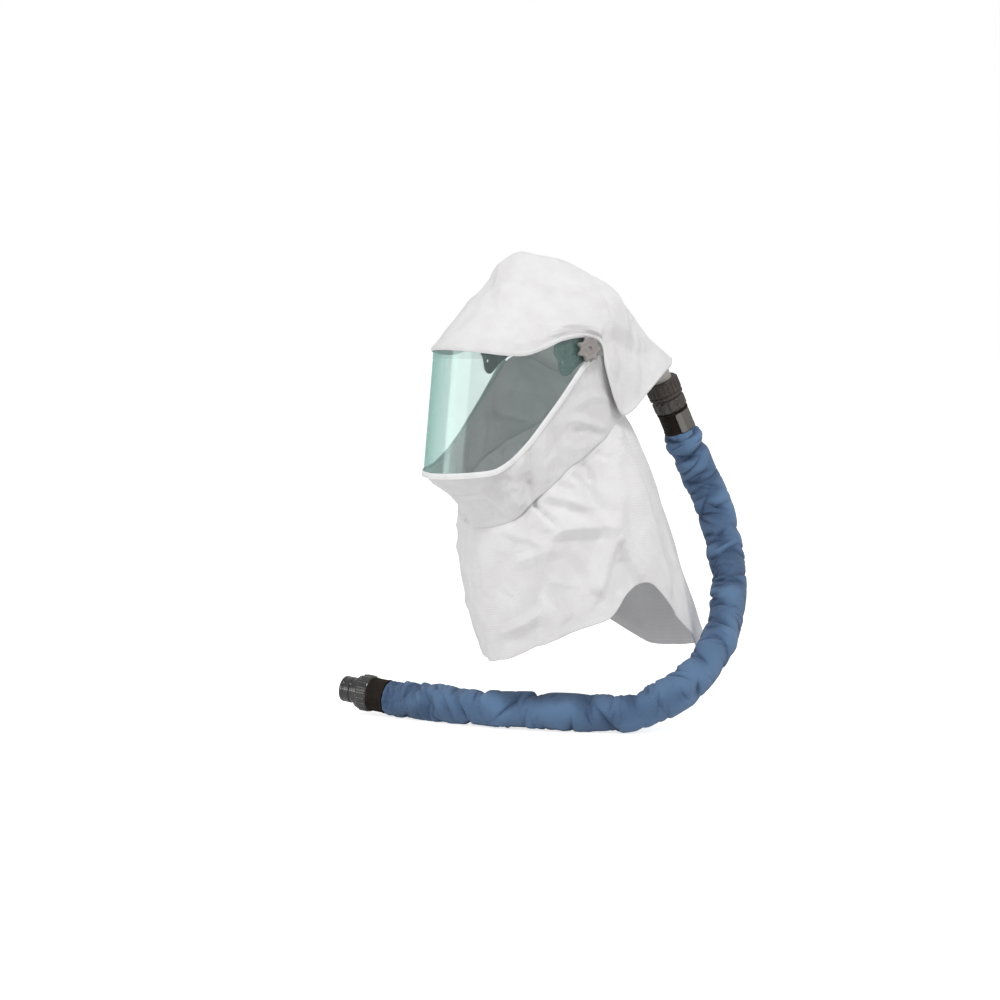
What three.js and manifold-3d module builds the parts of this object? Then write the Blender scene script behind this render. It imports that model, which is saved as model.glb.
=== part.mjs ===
// A loose-fitting respirator hood with its air hose.
// White cloth crown, collar and shoulder bib, a clear visor sewn in by a binding, a head harness
// behind two star knobs, an air inlet under the crown's tail, and a sleeved hose with a loose coupling.
// Millimetres, +Z up. The wearer faces -Y, +X is the wearer's left, and the origin is the middle of the
// headband, where the head carries the hood.

import * as THREE from 'three';
import { mergeVertices } from 'three/addons/utils/BufferGeometryUtils.js';
import Module from 'manifold-3d';

const wasm = await Module();
wasm.setup();

// Driving dimensions
const CLOTH = 1.2;
const CLEARANCE = 0.4;

// The face line is the visor's plan section: an arc in front and a straight run back to each knob.
const FACE_RADIUS = 88;
const FACE_WRAP = THREE.MathUtils.degToRad(80);
const FACE_SIDE_RUN = 105;
const FACE_LEAN = 0.1;
const KNOB_HEIGHT = -28;
const KNOB_BEFORE_RUN_END = 10;
const KNOB_ARC = FACE_RADIUS * FACE_WRAP + FACE_SIDE_RUN - KNOB_BEFORE_RUN_END;

const VISOR_THICKNESS = 1;
const VISOR_PAST_KNOB = 18;
const VISOR_END_ARC = KNOB_ARC + VISOR_PAST_KNOB;
const VISOR_UNDER_BROW = 4;
const BINDING_WIDTH = 8;
const BINDING_THICKNESS = 1.2;
const BINDING_PAST_KNOB = 6;
const BINDING_END_ARC = KNOB_ARC + BINDING_PAST_KNOB;
const COLLAR_UNDER_BINDING = 2;

const KNOB_RADIUS = 15.4;
const KNOB_LOBE = 1.7;
const KNOB_LOBES = 7;
const KNOB_DEPTH = 8;
const KNOB_STAND_OFF = 4.4;
const KNOB_CHAMFER = 0.8;
const KNOB_BOSS_RADIUS = 6;
const KNOB_DIMPLE_RADIUS = 3.2;
const KNOB_DIMPLE_DEPTH = 2;
const STUD_RADIUS = 3;
const STUD_REACH = 9;
const BRACKET_THICKNESS = 2.5;

const HEADBAND_HALF_WIDTH = 80;
const HEADBAND_HALF_LENGTH = 100;
const HEADBAND_CENTRE_Y = -12;
const HEADBAND_WALL = 2.5;
const HEADBAND_BOTTOM = -2;
const HEADBAND_TOP = 20;
const LUG_BACK_OF_KNOB = -20;
const LUG_LENGTH = 18;
const LUG_HEIGHT = 10;
const LUG_MIDDLE_HEIGHT = 1;

// The coupling's axis leans back from the vertical in the plane of symmetry.
const COUPLING_CENTRE = new THREE.Vector3(0, 203, -86);
const COUPLING_TILT = THREE.MathUtils.degToRad(27.4);
const DUCT_RADIUS = 17.5;
const DUCT_WALL = 2;
const DUCT_STRAIGHT_START = 36;
const DUCT_STRAIGHT_END = 19;
const NUT_LENGTH = 26;
const NUT_RADIUS = 24.8;
const NUT_TEETH = 22;
const NUT_TOOTH = 0.9;
const RING_LENGTH = 22;
const RING_RADIUS = 22.6;
const RING_LUGS = 12;
const RING_LUG = 1.6;
const CUFF_TOP_LENGTH = 33;
const CUFF_TOP_RADIUS = 23;
const CUFF_BEAD = 0.8;
const CUFF_BEAD_WIDTH = 3;
const TAB_LENGTH = 30;
const TAB_THICKNESS = 1.6;
const TAB_HALF_ANGLE = THREE.MathUtils.degToRad(32);

const SLEEVE_RADIUS = 26.5;
const SLEEVE_SIDES = 10;
const SLEEVE_STEPS = 32;
const SLEEVE_STRAIGHT_START = 25;
const SLEEVE_STRAIGHT_END = 12;
const LYING_HEIGHT = -536;
const END_HEADING = THREE.MathUtils.degToRad(212);
const END_RISE = THREE.MathUtils.degToRad(5.5);
const CUFF_BOTTOM_LENGTH = 25;
const CUFF_BOTTOM_RADIUS = 24;
const END_NUT_LENGTH = 23;
const END_NUT_RADIUS = 26;
const END_NUT_TEETH = 18;
const END_NUT_TOOTH = 1;
const STEM_RADIUS = 15;
const SPIGOT_RADIUS = 19;
const SPIGOT_LENGTH = 25;
const SPIGOT_BORE_RADIUS = 15.5;
const SPIGOT_BORE_DEPTH = 20;

// Middle line of the visor's binding, as distance along the face line and height.
const BINDING_LINE = [
  { arc: 0, z: -200.5 },
  { arc: 40, z: -199 },
  { arc: 80, z: -195.5 },
  { arc: 98, z: -192.5 },
  { arc: 112, z: -185 },
  { arc: 125, z: -175 },
  { arc: 145, z: -154 },
  { arc: 165, z: -127 },
  { arc: 185, z: -99 },
  { arc: 204, z: -70 },
  { arc: 216, z: -52 },
  { arc: 228, z: -42 },
  { arc: 244, z: -38 },
];

// The crown's edge, front to back on the left side: the brow as far as the knob follows the face line,
// then the side edge runs down to the lower rear corner and the tail's rim runs up to its tip.
// tent and tail say how much the cloth above follows the front slope and the tail's roof.
const CROWN_BROW = [
  { arc: 0, z: -29, tent: 1, tail: 0 },
  { arc: 37, z: -30, tent: 1, tail: 0 },
  { arc: 70, z: -33, tent: 0.85, tail: 0 },
  { arc: 100, z: -36.5, tent: 0.65, tail: 0 },
  { arc: 128, z: -36.5, tent: 0.45, tail: 0 },
  { arc: 155, z: -28, tent: 0.3, tail: 0 },
  { arc: 182, z: -16.5, tent: 0.15, tail: 0 },
  { arc: 213, z: -12.5, tent: 0.05, tail: 0 },
  { arc: 238, z: -20, tent: 0, tail: 0 },
];
const CROWN_REAR = [
  { x: 111, y: 16, z: -50, tent: 0, tail: 0 },
  { x: 107, y: 30, z: -84, tent: 0, tail: 0 },
  { x: 98, y: 49, z: -110, tent: 0, tail: 0.05 },
  { x: 87, y: 67, z: -121, tent: 0, tail: 0.1 },
  { x: 83, y: 86, z: -114, tent: 0, tail: 0.2 },
  { x: 75, y: 108, z: -100, tent: 0, tail: 0.3 },
  { x: 64, y: 137, z: -81, tent: 0, tail: 0.45 },
  { x: 46, y: 169, z: -64, tent: 0, tail: 0.65 },
  { x: 24, y: 199, z: -53, tent: 0, tail: 0.85 },
  { x: 0, y: 214, z: -48, tent: 0, tail: 1 },
];
const CROWN_APEX = new THREE.Vector3(0, -34, 108);
const TEMPLE_HEIGHT = 2;
const DOME_SHARE = 0.74;
const CROWN_EVENING = 0.34;
const EVENING_SAMPLES = 8;
const BROW_OUT = 2.6;
const HEM_DROP = 6;

// Share of the way out and of the drop from apex to hem, at steps down the crown, for its three forms.
const CROWN_PROFILE = [
  { step: 0, tentOut: 0, tentDrop: 0, domeOut: 0, domeDrop: 0, tailOut: 0, tailDrop: 0 },
  { step: 0.14, tentOut: 0.15, tentDrop: 0.04, domeOut: 0.22, domeDrop: 0.03, tailOut: 0.12, tailDrop: 0.02 },
  { step: 0.28, tentOut: 0.3, tentDrop: 0.15, domeOut: 0.43, domeDrop: 0.1, tailOut: 0.26, tailDrop: 0.1 },
  { step: 0.42, tentOut: 0.4, tentDrop: 0.33, domeOut: 0.61, domeDrop: 0.21, tailOut: 0.4, tailDrop: 0.23 },
  { step: 0.56, tentOut: 0.53, tentDrop: 0.45, domeOut: 0.77, domeDrop: 0.36, tailOut: 0.54, tailDrop: 0.39 },
  { step: 0.7, tentOut: 0.69, tentDrop: 0.61, domeOut: 0.89, domeDrop: 0.55, tailOut: 0.69, tailDrop: 0.6 },
  { step: 0.85, tentOut: 0.88, tentDrop: 0.82, domeOut: 0.97, domeDrop: 0.77, tailOut: 0.85, tailDrop: 0.8 },
  { step: 1, tentOut: 1, tentDrop: 1, domeOut: 1, domeDrop: 1, tailOut: 1, tailDrop: 1 },
];

// The neck seam, front to back on the left side, with the collar's dent above it and the bib's swell below.
// The bib's hem rows lie under the seam rows of the same place in the list.
const NECK_SEAM = [
  { x: 0, y: -125, z: -275, dent: 18, swell: 8 },
  { x: 40, y: -119, z: -271, dent: 17, swell: 8 },
  { x: 67, y: -110, z: -262, dent: 13, swell: 8 },
  { x: 82, y: -103, z: -252, dent: 8, swell: 7 },
  { x: 96, y: -92, z: -233, dent: 4, swell: 6 },
  { x: 105, y: -70, z: -215, dent: 1, swell: 5 },
  { x: 110, y: -44, z: -191, dent: 0, swell: 5 },
  { x: 111, y: -20, z: -176, dent: 0, swell: 5 },
  { x: 110, y: 0, z: -163, dent: 0, swell: 5 },
  { x: 101, y: 30, z: -148, dent: 0, swell: 5 },
  { x: 83, y: 59, z: -132, dent: 0, swell: 8 },
  { x: 64, y: 84, z: -126, dent: 0, swell: 11 },
  { x: 42, y: 101, z: -121, dent: 0, swell: 13 },
  { x: 20, y: 111, z: -119, dent: 0, swell: 14 },
  { x: 0, y: 114, z: -118, dent: 0, swell: 14 },
];
const BIB_HEM = [
  { x: 0, y: -100, z: -461 },
  { x: 30, y: -94, z: -456 },
  { x: 60, y: -82, z: -445 },
  { x: 90, y: -69, z: -431 },
  { x: 115, y: -52, z: -418 },
  { x: 134, y: -26, z: -404 },
  { x: 147, y: 3, z: -391 },
  { x: 152, y: 30, z: -358 },
  { x: 151, y: 52, z: -348 },
  { x: 146, y: 78, z: -357 },
  { x: 124, y: 133, z: -402 },
  { x: 98, y: 182, z: -440 },
  { x: 70, y: 228, z: -470 },
  { x: 38, y: 259, z: -478 },
  { x: 0, y: 271, z: -474 },
];

// The collar's top edge: under the binding as far as the knobs, then hidden behind the crown.
const COLLAR_FACE_ARCS = [0, 40, 75, 100, 120, 148, 176, 204, 226];
const COLLAR_BACK = [
  { x: 98, y: 22, z: -38 },
  { x: 80, y: 54, z: -56 },
  { x: 60, y: 78, z: -70 },
  { x: 40, y: 94, z: -80 },
  { x: 20, y: 103, z: -86 },
  { x: 0, y: 106, z: -88 },
];

// Folds of the cloth: side of the body, place at the top and at the foot in rows of the table above,
// reach down the cloth as shares of its depth, half width in rows, and height, negative for a valley.
const BIB_FOLDS = [
  { side: 1, top: 4.2, foot: 5, from: 0, to: 0.4, width: 0.6, height: -5 },
  { side: 1, top: 5.8, foot: 6.2, from: 0, to: 0.5, width: 0.8, height: 5 },
  { side: 1, top: 6.6, foot: 6.4, from: 0.3, to: 0.9, width: 0.8, height: -6 },
  { side: 1, top: 8.2, foot: 7.2, from: 0.3, to: 1, width: 0.6, height: 5 },
  { side: 1, top: 10.2, foot: 11.6, from: 0.05, to: 1, width: 0.8, height: 4 },
  { side: -1, top: 4.5, foot: 5.2, from: 0, to: 0.4, width: 0.7, height: -4 },
  { side: -1, top: 6.2, foot: 6.6, from: 0.1, to: 0.9, width: 0.9, height: 5 },
  { side: -1, top: 8.2, foot: 8.6, from: 0.2, to: 1, width: 0.8, height: -4 },
  { side: -1, top: 10.2, foot: 11.6, from: 0.05, to: 1, width: 0.8, height: 4 },
];
const COLLAR_FOLDS = [
  { side: 1, top: 6, foot: 5, from: 0.2, to: 1, width: 0.8, height: 3 },
  { side: -1, top: 6.3, foot: 5.4, from: 0.2, to: 1, width: 0.8, height: 3 },
];
const CROWN_FOLDS = [
  { side: 1, top: 7.6, foot: 7.2, from: 0.62, to: 0.98, width: 1.3, height: 5 },
  { side: 1, top: 10.8, foot: 12.6, from: 0.45, to: 0.98, width: 0.9, height: -3 },
  { side: -1, top: 7.6, foot: 7.2, from: 0.62, to: 0.98, width: 1.3, height: 5 },
  { side: -1, top: 10.8, foot: 12.2, from: 0.45, to: 0.98, width: 0.9, height: -3 },
];

// How finely the faces are laid out
const CROWN_COLUMNS = 50;
const CROWN_ROWS = 12;
const COLLAR_COLUMNS = 56;
const COLLAR_ROWS = 4;
const BIB_COLUMNS = 56;
const BIB_ROWS = 12;
const VISOR_COLUMNS = 40;
const BINDING_COLUMNS = 48;
const HEADBAND_SEGMENTS = 40;
const DUCT_STEPS = 9;
const DUCT_SEGMENTS = 7;
const BORE_SEGMENTS = 12;
const TURNED_SEGMENTS = 18;
const BAR_SEGMENTS = 12;
const POINTS_PER_LOBE = 4;
const SMALL_ARC_SEGMENTS = 6;
const WELD_DISTANCE = 1e-4;

// The duct inside the crown's tail, as distance back of the headband and height.
const DUCT_ROUTE = [
  { back: -1, z: 0 },
  { back: 22, z: -5 },
  { back: 46, z: -18 },
  { back: 68, z: -36 },
];

// The corners of one tooth of a toothed ring, as shares of its pitch and of the tooth's height.
const TOOTH_CORNERS = [
  { share: 0, rise: 0 },
  { share: 0.45, rise: 0 },
  { share: 0.5, rise: 1 },
  { share: 0.95, rise: 1 },
];

// The hose falls from the coupling, swings to the wearer's left and forward, and lies under the bib.
// Each point is chosen on the hose's middle line.
const HOSE_ROUTE = [
  [2, 257, -188],
  [7, 273, -222],
  [16, 283, -256],
  [29, 289, -293],
  [46, 287, -330],
  [66, 277, -365],
  [90, 256, -404],
  [112, 226, -439],
  [128, 190, -470],
  [136, 152, -495],
  [136, 114, -514],
  [126, 78, -527],
  [107, 47, -534],
  [83, 18, LYING_HEIGHT],
  [58, -9, LYING_HEIGHT],
  [32, -35, LYING_HEIGHT],
  [4, -60, LYING_HEIGHT],
  [-28, -85, LYING_HEIGHT],
  [-64, -109, LYING_HEIGHT],
  [-104, -133, LYING_HEIGHT],
];
const HOSE_END = new THREE.Vector3(-168, -168, -535);

// Materials
const finish = (color, roughness, metalness = 0) =>
  new THREE.MeshStandardMaterial({ color, roughness, metalness });
const clearSheet = new THREE.MeshStandardMaterial({
  color: 0xbfe3dc,
  roughness: 0.08,
  metalness: 0,
  transparent: true,
  opacity: 0.35,
});

// Smooth reading of a table: the row at a place between its rows, with every column eased.
function smoothRow(rows, key, at) {
  let i = 0;
  while (i < rows.length - 2 && at > rows[i + 1][key]) i += 1;
  const from = rows[i];
  const to = rows[i + 1];
  const before = rows[Math.max(i - 1, 0)];
  const after = rows[Math.min(i + 2, rows.length - 1)];
  const span = to[key] - from[key];
  const share = (at - from[key]) / span;
  const row = {};
  for (const column of Object.keys(from)) {
    const startSlope = ((to[column] - before[column]) / (to[key] - before[key])) * span;
    const endSlope = ((after[column] - from[column]) / (after[key] - from[key])) * span;
    const rise = to[column] - from[column];
    const bend = startSlope + endSlope - 2 * rise;
    row[column] = from[column] + share * (startSlope + share * (rise - startSlope + (share - 1) * bend));
  }
  return row;
}

// A closed loop whose left half is given front to back and whose right half mirrors it.
// Place 0 is the front, +1 and -1 are the back, reached on the left and on the right.
function mirroredLoop(halfRows) {
  const rows = halfRows.map((row, station) => ({ ...row, station }));
  const last = rows.length - 1;
  const ghost = (row, station) => ({ ...row, x: -row.x, station });
  const wrapped = [ghost(rows[1], -1), ...rows, ghost(rows[last - 1], last + 1)];
  return (place) => {
    const row = smoothRow(wrapped, 'station', Math.abs(place) * last);
    if (place < 0) row.x = -row.x;
    return row;
  };
}

// A point on the visor's outer face, or moved out from it.
function facePoint(arc, z, out = 0) {
  const reach = Math.abs(arc);
  const side = Math.sign(arc);
  const angle = Math.min(reach / FACE_RADIUS, FACE_WRAP);
  const run = Math.max(reach - FACE_RADIUS * FACE_WRAP, 0);
  const centreY = FACE_RADIUS * Math.cos(FACE_WRAP) - FACE_SIDE_RUN * Math.sin(FACE_WRAP);
  const x = (FACE_RADIUS + out) * Math.sin(angle) + run * Math.cos(angle);
  const y = centreY - (FACE_RADIUS + out) * Math.cos(angle) + run * Math.sin(angle);
  return new THREE.Vector3(side * x, y + FACE_LEAN * (z - KNOB_HEIGHT), z);
}

// A sheet of rows and columns of points. Its faces point out when columns run from the wearer's right
// round the front to the left and rows run down. A pole row is one point.
function sheet(rows, columns, closed, pole, pointAt) {
  const positions = [];
  const index = [];
  const columnCount = closed ? columns : columns + 1;
  const ids = [];
  for (let r = 0; r <= rows; r += 1) {
    ids.push([]);
    for (let c = 0; c < columnCount; c += 1) {
      if (pole && r === 0 && c > 0) {
        ids[r].push(ids[0][0]);
      } else {
        ids[r].push(positions.length / 3);
        positions.push(...pointAt(r / rows, (2 * c) / columns - 1).toArray());
      }
    }
  }
  for (let r = 0; r < rows; r += 1) {
    for (let c = 0; c < columns; c += 1) {
      const next = (c + 1) % columnCount;
      const [a, b] = [ids[r][c], ids[r + 1][c]];
      const [d, e] = [ids[r][next], ids[r + 1][next]];
      index.push(a, b, e);
      if (a !== d) index.push(a, e, d);
    }
  }
  const geometry = new THREE.BufferGeometry();
  geometry.setAttribute('position', new THREE.Float32BufferAttribute(positions, 3));
  geometry.setIndex(index);
  return geometry;
}

// A wall of even thickness behind a sheet, closed round the sheet's edges.
function thicken(outer, thickness) {
  outer.computeVertexNormals();
  const position = outer.getAttribute('position');
  const normal = outer.getAttribute('normal');
  const count = position.count;
  const positions = [...position.array];
  for (let i = 0; i < count; i += 1) {
    const point = new THREE.Vector3().fromBufferAttribute(position, i);
    const inward = new THREE.Vector3().fromBufferAttribute(normal, i);
    positions.push(...point.addScaledVector(inward, -thickness).toArray());
  }
  const outerIndex = outer.getIndex().array;
  const index = [];
  const edges = new Set();
  for (let i = 0; i < outerIndex.length; i += 3) {
    const [a, b, c] = outerIndex.slice(i, i + 3);
    index.push(a, b, c, c + count, b + count, a + count);
    edges.add(`${a},${b}`).add(`${b},${c}`).add(`${c},${a}`);
  }
  for (const edge of edges) {
    const [a, b] = edge.split(',').map(Number);
    if (!edges.has(`${b},${a}`)) index.push(b, a, a + count, b, a + count, b + count);
  }
  const wall = new THREE.BufferGeometry();
  wall.setAttribute('position', new THREE.Float32BufferAttribute(positions, 3));
  wall.setIndex(index);
  return wall;
}

// Height of all the folds of a table at one place of the cloth.
function foldHeight(folds, place, last, down) {
  const station = Math.abs(place) * last;
  let height = 0;
  for (const fold of folds) {
    if (fold.side * place <= 0 || down < fold.from || down > fold.to) continue;
    const along = (down - fold.from) / (fold.to - fold.from);
    const middle = THREE.MathUtils.lerp(fold.top, fold.foot, along);
    const across = (station - middle) / fold.width;
    height += fold.height * Math.exp(-across * across) * Math.sin(Math.PI * along) ** 0.5;
  }
  return height;
}

// Booleans
function asSolid(geometry) {
  const bare = geometry.clone();
  bare.deleteAttribute('normal');
  bare.deleteAttribute('uv');
  const merged = mergeVertices(bare, WELD_DISTANCE);
  return new wasm.Manifold(new wasm.Mesh({
    numProp: 3,
    vertProperties: new Float32Array(merged.getAttribute('position').array),
    triVerts: new Uint32Array(merged.getIndex().array),
  }));
}

function asGeometry(solid) {
  const { numProp, vertProperties, triVerts } = solid.getMesh();
  const positions = [];
  for (let i = 0; i < vertProperties.length; i += numProp) {
    positions.push(vertProperties[i], vertProperties[i + 1], vertProperties[i + 2]);
  }
  const geometry = new THREE.BufferGeometry();
  geometry.setAttribute('position', new THREE.Float32BufferAttribute(positions, 3));
  geometry.setIndex([...triVerts]);
  return geometry;
}

const hood = new THREE.Group();
hood.name = 'respirator_hood';

function addPiece(name, geometry, material, parent = hood) {
  const piece = new THREE.Mesh(geometry, material);
  piece.name = name;
  parent.add(piece);
  return piece;
}

// Cloth: crown, collar and bib

const outwardFrom = (point, axisY) => new THREE.Vector3(point.x, point.y - axisY, 0).normalize();

const browRows = CROWN_BROW.map(({ arc, z, tent, tail }) => {
  const { x, y } = facePoint(arc || Number.EPSILON, z, BROW_OUT);
  return { x, y, z, tent, tail };
});
const crownRows = [...browRows, ...CROWN_REAR];
const crownEdge = mirroredLoop(crownRows);
const CROWN_HEM_SHARE = (CROWN_ROWS - 1) / CROWN_ROWS;

// The crown's edge averaged over a reach of the loop to each side, so its corners fade up the cloth.
function evenedEdge(place, reach) {
  const even = { x: 0, y: 0, z: 0, tent: 0, tail: 0 };
  const count = 2 * EVENING_SAMPLES + 1;
  for (let i = -EVENING_SAMPLES; i <= EVENING_SAMPLES; i += 1) {
    const at = place + (reach * i) / EVENING_SAMPLES;
    const row = crownEdge(at - 2 * Math.round(at / 2));
    for (const column of Object.keys(even)) even[column] += row[column] / count;
  }
  return even;
}

function crownPoint(down, place) {
  const corner = crownEdge(place);
  if (down > CROWN_HEM_SHARE) return new THREE.Vector3(corner.x, corner.y, corner.z);
  const step = down / CROWN_HEM_SHARE;
  const edge = evenedEdge(place, CROWN_EVENING * (1 - step));
  const hemTop = new THREE.Vector3(edge.x, edge.y + FACE_LEAN * HEM_DROP, edge.z + HEM_DROP);
  const slope = smoothRow(CROWN_PROFILE, 'step', step);
  // The dome ends at the temples, and below them the cloth hangs straight.
  const domeHeight = CROWN_APEX.z - TEMPLE_HEIGHT;
  const dome = smoothRow(CROWN_PROFILE, 'step', Math.min(step / DOME_SHARE, 1));
  const hung = Math.max(step - DOME_SHARE, 0) / (1 - DOME_SHARE);
  const domeDrop = dome.domeDrop * domeHeight + hung * (TEMPLE_HEIGHT - hemTop.z);
  const fullDrop = CROWN_APEX.z - hemTop.z;
  const domeWeight = 1 - edge.tent - edge.tail;
  const out = edge.tent * slope.tentOut + domeWeight * dome.domeOut + edge.tail * slope.tailOut;
  const drop = (edge.tent * slope.tentDrop + edge.tail * slope.tailDrop) * fullDrop + domeWeight * domeDrop;
  const point = CROWN_APEX.clone().lerp(hemTop, out);
  point.z = CROWN_APEX.z - drop;
  const height = foldHeight(CROWN_FOLDS, place, crownRows.length - 1, step);
  return point.addScaledVector(outwardFrom(point, 0), height);
}

const seam = mirroredLoop(NECK_SEAM);
const hem = mirroredLoop(BIB_HEM);
const collarTop = mirroredLoop([
  ...COLLAR_FACE_ARCS.map((arc) => {
    const z = smoothRow(BINDING_LINE, 'arc', arc).z - COLLAR_UNDER_BINDING;
    const { x, y } = facePoint(arc || Number.EPSILON, z, -2 * CLEARANCE);
    return { x, y, z };
  }),
  ...COLLAR_BACK,
]);
const lastSeamRow = NECK_SEAM.length - 1;

// A point of cloth stretched from one loop to the next, swelled out between them and folded.
function stretchedPoint(upper, lower, swell, folds, place, down) {
  const point = new THREE.Vector3(upper.x, upper.y, upper.z).lerp(lower, down);
  const bulge = swell * 4 * down * (1 - down);
  const height = foldHeight(folds, place, lastSeamRow, down);
  return point.addScaledVector(outwardFrom(point, 0), bulge + height);
}

function collarPoint(down, place) {
  const lower = seam(place);
  return stretchedPoint(collarTop(place), lower, -lower.dent, COLLAR_FOLDS, place, down);
}

function bibPoint(down, place) {
  const upper = seam(place);
  upper.z -= CLEARANCE + CLOTH;
  return stretchedPoint(upper, hem(place), upper.swell, BIB_FOLDS, place, down);
}

const whiteCloth = { color: 0xf1f0f2, roughness: 0.75 };
const crownSheet = sheet(CROWN_ROWS, CROWN_COLUMNS, true, true, crownPoint);
addPiece('crown', thicken(crownSheet, CLOTH), finish(whiteCloth.color, whiteCloth.roughness));
const collarSheet = sheet(COLLAR_ROWS, COLLAR_COLUMNS, true, false, collarPoint);
addPiece('collar', thicken(collarSheet, CLOTH), finish(whiteCloth.color, whiteCloth.roughness));
const bibSheet = sheet(BIB_ROWS, BIB_COLUMNS, true, false, bibPoint);
addPiece('bib', thicken(bibSheet, CLOTH), finish(whiteCloth.color, whiteCloth.roughness));

// Side frames: at each knob, local X runs along the face line, Y up and Z out through the visor.

function sideFrame(side) {
  const ahead = new THREE.Vector3(Math.cos(FACE_WRAP), Math.sin(FACE_WRAP), 0);
  const rise = new THREE.Vector3(0, FACE_LEAN, 1);
  const out = new THREE.Vector3().crossVectors(ahead, rise).normalize();
  ahead.x *= side;
  out.x *= side;
  const along = ahead.multiplyScalar(side);
  const up = new THREE.Vector3().crossVectors(out, along);
  const frame = new THREE.Group();
  frame.applyMatrix4(new THREE.Matrix4().makeBasis(along, up, out));
  frame.position.copy(facePoint(side * KNOB_ARC, KNOB_HEIGHT));
  frame.updateMatrix();
  return frame;
}

// Round bar along local Z between two heights.
function bar(radius, low, high) {
  const cylinder = new THREE.CylinderGeometry(radius, radius, high - low, BAR_SEGMENTS);
  return cylinder.rotateX(Math.PI / 2).translate(0, 0, (low + high) / 2);
}

// Visor

function visorPoint(down, place) {
  const arc = place * VISOR_END_ARC || Number.EPSILON;
  const reach = Math.abs(arc);
  const brow = smoothRow(CROWN_BROW, 'arc', Math.min(reach, CROWN_BROW.at(-1).arc)).z;
  const top = brow + VISOR_UNDER_BROW;
  const bottom = smoothRow(BINDING_LINE, 'arc', reach).z + CLEARANCE;
  return facePoint(arc, THREE.MathUtils.lerp(top, bottom, down));
}

const sides = [
  { name: 'left', side: 1 },
  { name: 'right', side: -1 },
];
let visorSolid = asSolid(thicken(sheet(1, VISOR_COLUMNS, false, false, visorPoint), VISOR_THICKNESS));
for (const { side } of sides) {
  const hole = bar(STUD_RADIUS + CLEARANCE, -STUD_REACH, STUD_REACH);
  visorSolid = visorSolid.subtract(asSolid(hole.applyMatrix4(sideFrame(side).matrix)));
}
addPiece('visor', asGeometry(visorSolid), clearSheet);

// Binding over the visor's lower edge, from knob to knob

function bindingPoint(down, place) {
  const arc = place * BINDING_END_ARC || Number.EPSILON;
  const reach = Math.abs(arc);
  const step = 0.5;
  const { z } = smoothRow(BINDING_LINE, 'arc', reach);
  const slope = (smoothRow(BINDING_LINE, 'arc', reach + step).z - z) / step;
  const across = (0.5 - down) * BINDING_WIDTH;
  const tilt = Math.hypot(1, slope);
  const shifted = reach - (across * slope) / tilt;
  const out = BINDING_THICKNESS + CLEARANCE;
  return facePoint(Math.sign(arc) * Math.max(shifted, Number.EPSILON), z + across / tilt, out);
}

const bindingSheet = sheet(1, BINDING_COLUMNS, false, false, bindingPoint);
addPiece('visor_binding', thicken(bindingSheet, BINDING_THICKNESS), finish(0xf6f6f6, 0.6));

// Knobs and harness brackets

function lobedOutline(radius, lobe, lobes, pointsPerLobe) {
  const count = lobes * pointsPerLobe;
  const points = [];
  for (let i = 0; i < count; i += 1) {
    const angle = (2 * Math.PI * i) / count;
    const reach = radius + lobe * Math.cos(lobes * angle);
    points.push(new THREE.Vector2(reach * Math.cos(angle), reach * Math.sin(angle)));
  }
  return new THREE.Shape(points);
}

function knobGeometry() {
  const outline = lobedOutline(KNOB_RADIUS - KNOB_CHAMFER, KNOB_LOBE, KNOB_LOBES, POINTS_PER_LOBE);
  const star = new THREE.ExtrudeGeometry(outline, {
    depth: KNOB_DEPTH - 2 * KNOB_CHAMFER,
    bevelThickness: KNOB_CHAMFER,
    bevelSize: KNOB_CHAMFER,
    bevelSegments: 1,
  }).translate(0, 0, KNOB_STAND_OFF + KNOB_CHAMFER);
  const top = KNOB_STAND_OFF + KNOB_DEPTH;
  return asGeometry(asSolid(star)
    .add(asSolid(bar(KNOB_BOSS_RADIUS, CLEARANCE, KNOB_STAND_OFF + KNOB_CHAMFER)))
    .add(asSolid(bar(STUD_RADIUS, -STUD_REACH, KNOB_STAND_OFF)))
    .subtract(asSolid(bar(KNOB_DIMPLE_RADIUS, top - KNOB_DIMPLE_DEPTH, top + CLEARANCE))));
}

// The bracket's outline is given for the left side as run back from the knob and rise above it.
const BRACKET_OUTLINE = [
  { run: -32, rise: 34 },
  { run: -32, rise: 16 },
  { run: -46, rise: 8 },
  { run: -48, rise: -6 },
  { run: -42, rise: -14 },
  { run: -40, rise: -30 },
  { run: -33, rise: -37 },
  { run: -25, rise: -36 },
  { run: -10, rise: -20 },
  { run: 8, rise: -12 },
  { run: 12, rise: 0 },
  { run: 8, rise: 12 },
  { run: -8, rise: 18 },
  { run: -8, rise: 34 },
];
const BRACKET_HOLES = [
  { run: 0, rise: 0, radius: STUD_RADIUS + CLEARANCE },
  { run: -34, rise: -18, radius: 2.2 },
  { run: -32, rise: -4, radius: 2.8 },
];

function bracketGeometry(side) {
  const outline = new THREE.Shape(BRACKET_OUTLINE.map(({ run, rise }) => new THREE.Vector2(side * run, rise)));
  for (const { run, rise, radius } of BRACKET_HOLES) {
    outline.holes.push(new THREE.Path().absarc(side * run, rise, radius, 0, 2 * Math.PI));
  }
  const plate = new THREE.ExtrudeGeometry(outline, {
    depth: BRACKET_THICKNESS,
    bevelEnabled: false,
    curveSegments: SMALL_ARC_SEGMENTS,
  });
  return plate.translate(0, 0, -VISOR_THICKNESS - CLEARANCE - BRACKET_THICKNESS);
}

for (const { name, side } of sides) {
  const frame = sideFrame(side);
  hood.add(frame);
  addPiece(`knob_${name}`, knobGeometry(), finish(0xa9a29f, 0.55), frame);
  addPiece(`bracket_${name}`, bracketGeometry(side), finish(0x8d9896, 0.5), frame);
}

// Headband with a lug out to each bracket

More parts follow.
